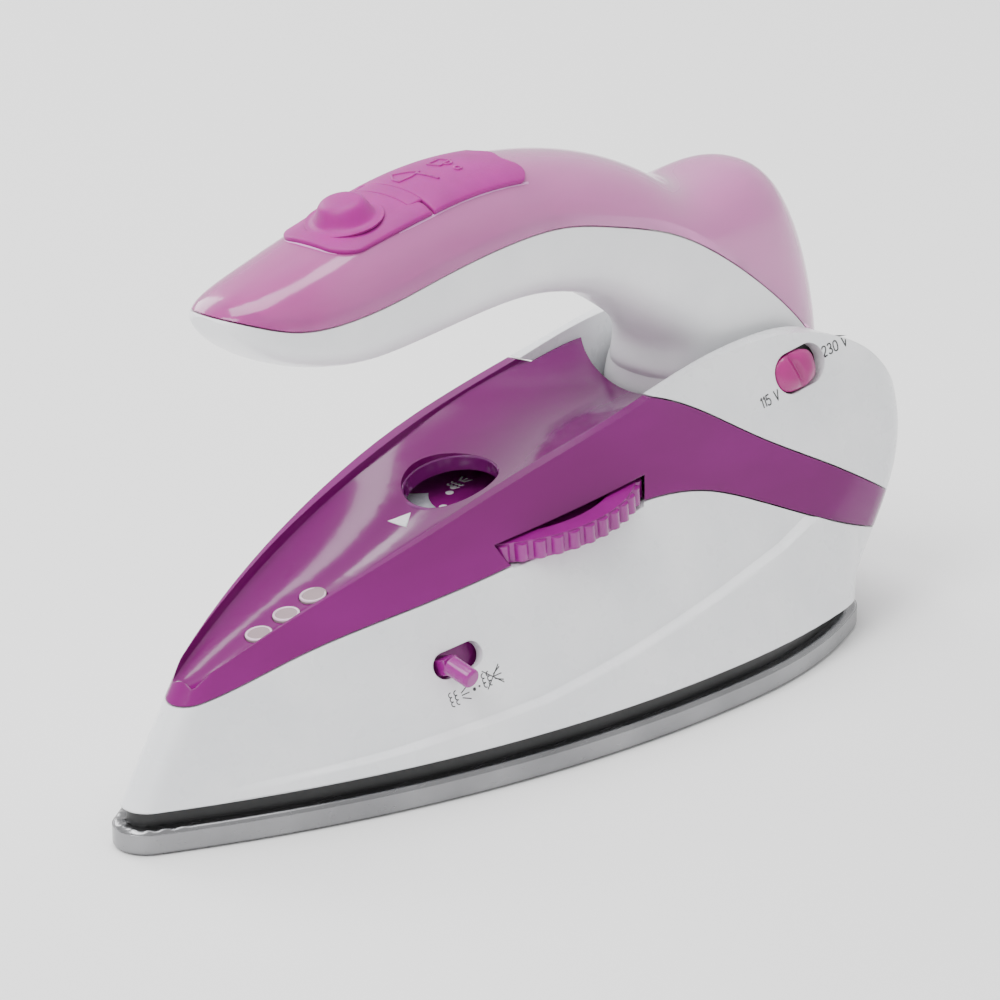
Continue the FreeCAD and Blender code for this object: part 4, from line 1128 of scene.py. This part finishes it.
# ------------------------------------------------------------------- handle
class Crown:
    """Smooth upper surface of the handle's pads.

    The height is a polynomial in x to the fourth power and in y squared to
    the second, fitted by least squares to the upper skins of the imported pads.
    """

    sunk: float = 0.00045

    def __init__(self) -> None:
        """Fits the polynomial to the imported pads."""
        spots = [self.upper(frame["nodes"][node].data) for node in ("button_pad", "filler_flap")]
        spot = np.concatenate(spots)
        self.terms, *_ = np.linalg.lstsq(self.basis(spot[:, 0], spot[:, 1]), spot[:, 2], rcond=None)

    def upper(self, mesh: bpy.types.Mesh) -> np.ndarray:
        """Middles of the faces of a mesh that look up."""
        count = len(mesh.polygons)
        middle = np.zeros(count * 3, np.float32)
        way = np.zeros(count * 3, np.float32)
        mesh.polygons.foreach_get("center", middle)
        mesh.polygons.foreach_get("normal", way)
        middle = middle.reshape(-1, 3).astype(float)
        up = way.reshape(-1, 3)[:, 2] > 0.6
        line = np.interp(middle[:, 0], [-0.04, -0.02, 0.01], [0.1005, 0.1062, 0.1088])
        return middle[up & (middle[:, 2] > line - 0.0035)]

    def basis(self, x: np.ndarray, y: np.ndarray) -> np.ndarray:
        """Terms of the polynomial at each point."""
        u = (x + 0.015) / 0.025
        w = (y / 0.01) ** 2
        return np.stack([u ** i * w ** j for i in range(5) for j in range(3)], -1)

    def height(self, x: np.ndarray, y: np.ndarray) -> np.ndarray:
        """Height of the crown at points in metres."""
        return self.basis(x, y) @ self.terms - self.sunk

    def lift(self, x: np.ndarray, y: np.ndarray, rise: np.ndarray) -> np.ndarray:
        """Points that stand a rise above the crown, along its normal."""
        step = 1e-5
        slope_x = (self.height(x + step, y) - self.height(x - step, y)) / (2 * step)
        slope_y = (self.height(x, y + step) - self.height(x, y - step)) / (2 * step)
        way = np.stack([-slope_x, -slope_y, np.ones_like(slope_x)], -1)
        way /= np.linalg.norm(way, axis=-1, keepdims=True)
        return np.stack([x, y, self.height(x, y)], -1) + way * np.asarray(rise)[..., None]


@dataclass
class PadSheet:
    """Soft sheet on the crown, given by its ends and half widths in millimetres."""

    name: str
    front: float
    rear: float
    corner_front: float = 0.0
    corner_rear: float = 0.0
    bulge: float = 0.0
    scallop: float = 0.0
    notch_rear: float = 0.0
    half: float = 10.2
    thick: float = 0.85

    def width(self, x: np.ndarray) -> np.ndarray:
        """Half width of the pads at a place along the handle."""
        return np.interp(x, [-40.0, -19.0, 9.5], [9.4, 10.4, 10.9]) * self.half / 10.2

    def end(self, base: float, y: np.ndarray, way: int, corner: float, notch: float) -> np.ndarray:
        """One end's outline: a straight or bulged edge with rounded corners.

        Args:
            base: where the end lies at the middle.
            y: places across.
            way: -1 for the front end, 1 for the rear end.
            corner: radius of the rounded corners.
            notch: how far the outer parts reach past the middle part.

        Returns:
            The end's place along the handle for each y.
        """
        half = float(self.width(np.array(base)))
        beyond = np.clip(np.abs(y) - (half - corner), 0, corner)
        drawn = corner - np.sqrt(np.maximum(corner ** 2 - beyond ** 2, 0))
        ripple = 0.0
        if way > 0:
            ripple = self.scallop * np.cos(y / half * 3.0 * math.pi)
        outer = 1 / (1 + np.exp(-(np.abs(y) - 6.9) / 0.12))
        return base + way * (self.bulge * (1 - (y / half) ** 2) * (way < 0)
                             + ripple - drawn + notch * outer)

    def build(self, crown: Crown) -> bpy.types.Object:
        """Closed sheet: rows run from front to rear and columns side to side.

        The top follows the crown and falls away at the border as a quarter
        round of the distance to the border; the underside is the crown lowered
        by the thickness.
        """
        rows, columns = 110, 90
        across = np.sin(np.linspace(-1, 1, columns) * math.pi / 2)[None, :]
        along = ((1 - np.cos(np.linspace(0, 1, rows) * math.pi)) / 2)[:, None]
        half = self.width(self.front + along * (self.rear - self.front))
        y = across * half
        start = self.end(self.front, y, -1, self.corner_front, 0.0)
        stop = self.end(self.rear, y, 1, self.corner_rear, self.notch_rear)
        x = start + along * (stop - start)
        border = np.minimum(np.minimum(x - start, stop - x), half - np.abs(y))
        radius = 0.5
        depth = np.clip(radius - border, 0, radius)
        fall = radius - np.sqrt(np.maximum(radius ** 2 - depth ** 2, 0))
        top = crown.lift(x * MM, y * MM, -fall * MM)
        foot = crown.lift(x * MM, y * MM, np.full(x.shape, -self.thick) * MM)
        piece = sandwich(self.name, top.reshape(-1, 3), foot.reshape(-1, 3), rows, columns, 60)
        PAINTS.dress(piece, Finish.PAD)
        return piece


@dataclass
class HandleGroup:
    """Grip, water tank and the soft parts on its top."""

    def build(self) -> None:
        """Builds the handle's skins and its soft pad."""
        SmoothSkin("grip_shell", "handle", Finish.GRIP, "housing_white").build()
        SmoothSkin("water_tank", "handle", Finish.TANK, "tank_pink").build()
        crown = Crown()
        pad = PadSheet("pad_front", -39.4, -20.6, corner_front=5.0, bulge=1.2,
                       notch_rear=2.55).build(crown)
        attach(pad, "handle")
        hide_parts("button_pad")
        web = PadSheet("pad_web", -20.75, -17.25, half=6.9).build(crown)
        flap = PadSheet("pad_flap", -17.4, 8.8, corner_rear=2.6, scallop=0.55).build(crown)
        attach(flap, "flap")
        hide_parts("filler_flap")
        self.signs(crown, flap)
        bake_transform(web)
        self.plug(crown)
        self.dome(crown)
        self.edge_line(crown)

    def signs(self, crown: Crown, flap: bpy.types.Object) -> None:
        """Raised iron sign, and jug sign with its drop, moulded into the flap."""
        art = Artwork()
        shape = np.array([(-3.2, 1.7), (-2.6, -1.5), (-1.4, -2.6), (0.6, -0.6), (2.0, 1.9),
                          (0.2, 2.1), (-3.2, 1.7)])
        art.stroke(evened(shape, 49), 0.45)
        for shift in (0.0, 1.2, 2.4):
            art.line((1.6 + shift, 0.9 - shift * 0.5), (3.4 + shift, 0.1 - shift * 0.5), 0.42)
        out = Vector((-0.2, 0, 0.98))
        seat = Seat(self.above(crown, -0.0128, 0.0008), Vector((0.62, -0.78, 0.12)), out)
        self.raise_on(art.lay("sign_iron", seat, flap, 0.0006, 0.4))
        jug = Artwork()
        side = np.array([(-1.6, -1.9), (-1.1, 1.5), (-2.0, 2.2), (1.3, 2.0), (1.0, -1.9),
                         (-1.6, -1.9)])
        jug.stroke(evened(side, 41), 0.42)
        jug.arc((1.1, 0.3), (1.2, 1.1), -80, 80, 0.42)
        jug.arc((4.3, -1.2), (0.65, 0.8), -10, 330, 0.4)
        seat = Seat(self.above(crown, -0.0040, 0.0010), Vector((0.3, -0.95, 0.05)),
                    Vector((-0.05, 0, 1)))
        self.raise_on(jug.lay("sign_jug", seat, flap, 0.0006, 0.4))

    def above(self, crown: Crown, x: float, y: float) -> Vector:
        """Place a little above the crown, for a drawing to be laid from."""
        return Vector(crown.lift(np.array([x]), np.array([y]), np.array([0.0008]))[0])

    def raise_on(self, piece: bpy.types.Object) -> None:
        """Dresses a raised sign and lets it ride with the flap."""
        PAINTS.dress(piece, Finish.PAD)
        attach(piece, "flap")

    def plug(self, crown: Crown) -> None:
        """Ribbed plug below the flap, turned about the flap's own normal."""
        at = np.array([-0.004]), np.array([0.0])
        low = crown.lift(*at, np.array([-0.001]))[0]
        top = crown.lift(*at, np.array([0.0]))[0]
        axis = Vector((top - low) / np.linalg.norm(top - low))
        profile = np.array([(0, -2.6), (3.7, -2.6), (4.3, -2.25), (4.05, -1.85), (4.45, -1.4),
                            (4.1, -0.95), (4.1, 0.2), (0, 0.2)]) * MM
        piece = lathe("flap_plug", profile, Vector(low) - axis * 0.0002, axis, 56)
        PAINTS.dress(piece, Finish.PAD)
        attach(piece, "flap")

    def dome(self, crown: Crown) -> None:
        """Soft dome over the pump: a profile turned about the pump's axis."""
        axis = -Vector(joint("pump_press")["axis"]).normalized()
        at = np.array([-0.0305]), np.array([0.0])
        spot = Vector(crown.lift(*at, np.array([0.0]))[0])
        share = np.linspace(0, 1, 40)
        radius = 7.4 - 7.4 * share
        slope = 1 / (1 + np.exp((radius - 5.0) / 0.42))
        height = 3.95 * slope * (1 - 0.16 * (radius / 5.0) ** 2 * (radius < 6.0)) - 0.06
        profile = np.stack([radius, height], 1)[::-1]
        foot = np.array([(7.4, -0.06), (7.2, -0.5), (0.0, -0.5)])
        piece = lathe("pump_dome", np.concatenate([profile, foot]) * MM, spot, axis, 72, 60)
        PAINTS.dress(piece, Finish.PAD)
        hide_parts("pump_button")
        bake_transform(piece)

    def edge_line(self, crown: Crown) -> None:
        """Pale bead round the foot of the front pad: a small round section
        carried along the pad's outline, just below the pad's edge."""
        sheet = PadSheet("outline", -39.4, -20.6, corner_front=5.0, bulge=1.2)
        across = np.sin(np.linspace(-1, 1, 160) * math.pi / 2)
        y_front = across * float(sheet.width(np.array(-39.4)))
        x_front = sheet.end(-39.4, y_front, -1, 5.0, 0.0)
        back = np.linspace(0, 1, 120)[1:]
        x_side = x_front[-1] + back * (8.0 - x_front[-1])
        y_side = sheet.width(x_side)
        x = np.concatenate([x_side[::-1], x_front, x_side])
        y = np.concatenate([-y_side[::-1], y_front, y_side])
        centre = crown.lift(x * MM, y * MM, np.full(x.shape, -0.00105))
        run = np.gradient(centre, axis=0)
        run /= np.linalg.norm(run, axis=1, keepdims=True)
        high = crown.lift(x * MM, y * MM, np.full(x.shape, 0.0)) - centre
        high /= np.linalg.norm(high, axis=1, keepdims=True)
        side = np.cross(run, high)
        turn = np.linspace(0, 2 * math.pi, 10, endpoint=False)[None, :, None]
        points = (centre[:, None] + 0.00032 * np.cos(turn) * side[:, None]
                  + 0.00022 * np.sin(turn) * high[:, None])
        piece = make_object("pad_bead", points.reshape(-1, 3),
                            grid_faces(len(x), 10, wrap_columns=True), closed=False, sharp=80)
        close_poles(piece, 10)
        PAINTS.dress(piece, Finish.PAD_LINE)
        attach(piece, "handle")


# ------------------------------------------------------------------- studio
@dataclass
class Studio:
    """Pale floor, soft lights and the camera."""

    floor_colour: Colour = (0.9, 0.9, 0.9, 1.0)

    def build(self) -> None:
        """Builds floor, world, lights and camera."""
        self.floor()
        self.world()
        for spec in (("key", (-0.9, 0.1, 1.3), (0, 0, 0.05), 0.9, 20.0),
                     ("top", (0.2, 0.2, 1.5), (0, 0, 0.05), 0.8, 14.0),
                     ("rim", (0.2, 1.4, 0.8), (0, 0, 0.05), 0.8, 12.0)):
            self.lamp(*spec)
        self.camera()

    def floor(self) -> None:
        """Wide disc: rings of growing radius at height 0, with a faint texture."""
        turn = np.linspace(0, 2 * math.pi, 96, endpoint=False)[None, :]
        ring = np.array([0.001, 0.3, 1.0, 3.0, 8.0])[:, None]
        points = np.stack([ring * np.cos(turn), ring * np.sin(turn),
                           np.full((5, 96), -0.0001)], -1)
        piece = make_object("floor", points.reshape(-1, 3),
                            grid_faces(5, 96, wrap_columns=True), closed=False)
        bench = Bench("floor_paper")
        tone = bench.ramp(bench.noise(0.4, (1, 1, 1), 2), "Fac",
                          [(0.3, (0.88, 0.88, 0.88, 1)), (0.7, self.floor_colour)])
        bench.join(tone, "Color", bench.shader, "Base Color")
        bench.set(Roughness=0.9)
        piece.data.materials.append(bench.material)

    def world(self) -> None:
        """Even white surroundings."""
        world = bpy.data.worlds.new("studio")
        world.use_nodes = True
        back = world.node_tree.nodes["Background"]
        back.inputs["Color"].default_value = (1, 1, 1, 1)
        back.inputs["Strength"].default_value = 1.0
        bpy.context.scene.world = world

    def lamp(self, name: str, place: Spot,
             aim: Spot, size: float, power: float) -> None:
        """One square soft light that looks at a point."""
        data = bpy.data.lights.new(name, "AREA")
        data.size = size
        data.energy = power
        lamp = bpy.data.objects.new(name, data)
        lamp.location = place
        turn = (Vector(aim) - Vector(place)).to_track_quat("-Z", "Y")
        lamp.rotation_euler = turn.to_euler()
        bpy.context.scene.collection.objects.link(lamp)

    def camera(self) -> None:
        """Camera left of the near side, a little above the iron."""
        data = bpy.data.cameras.new("camera")
        data.sensor_width = 36.0
        data.lens = 168.6
        data.clip_start = 0.01
        data.clip_end = 50.0
        camera = bpy.data.objects.new("camera", data)
        turn = Matrix(((0.66612, 0.26007, -0.69904), (-0.74585, 0.23210, -0.62437),
                       (-0.00013, 0.93728, 0.34858)))
        camera.matrix_world = Matrix.Translation((-0.61549, -0.56016, 0.35206)) @ turn.to_4x4()
        bpy.context.scene.collection.objects.link(camera)
        bpy.context.scene.camera = camera


def main() -> None:
    """Builds the studio and every group of the iron in turn."""
    logging.basicConfig(level=logging.INFO, format="%(name)s %(message)s")
    Studio().build()
    PlainNodes().dress()
    SoleGroup().build()
    BodyGroup().build()
    ControlGroup().build()
    HandleGroup().build()


if __name__ == "__main__":
    main()
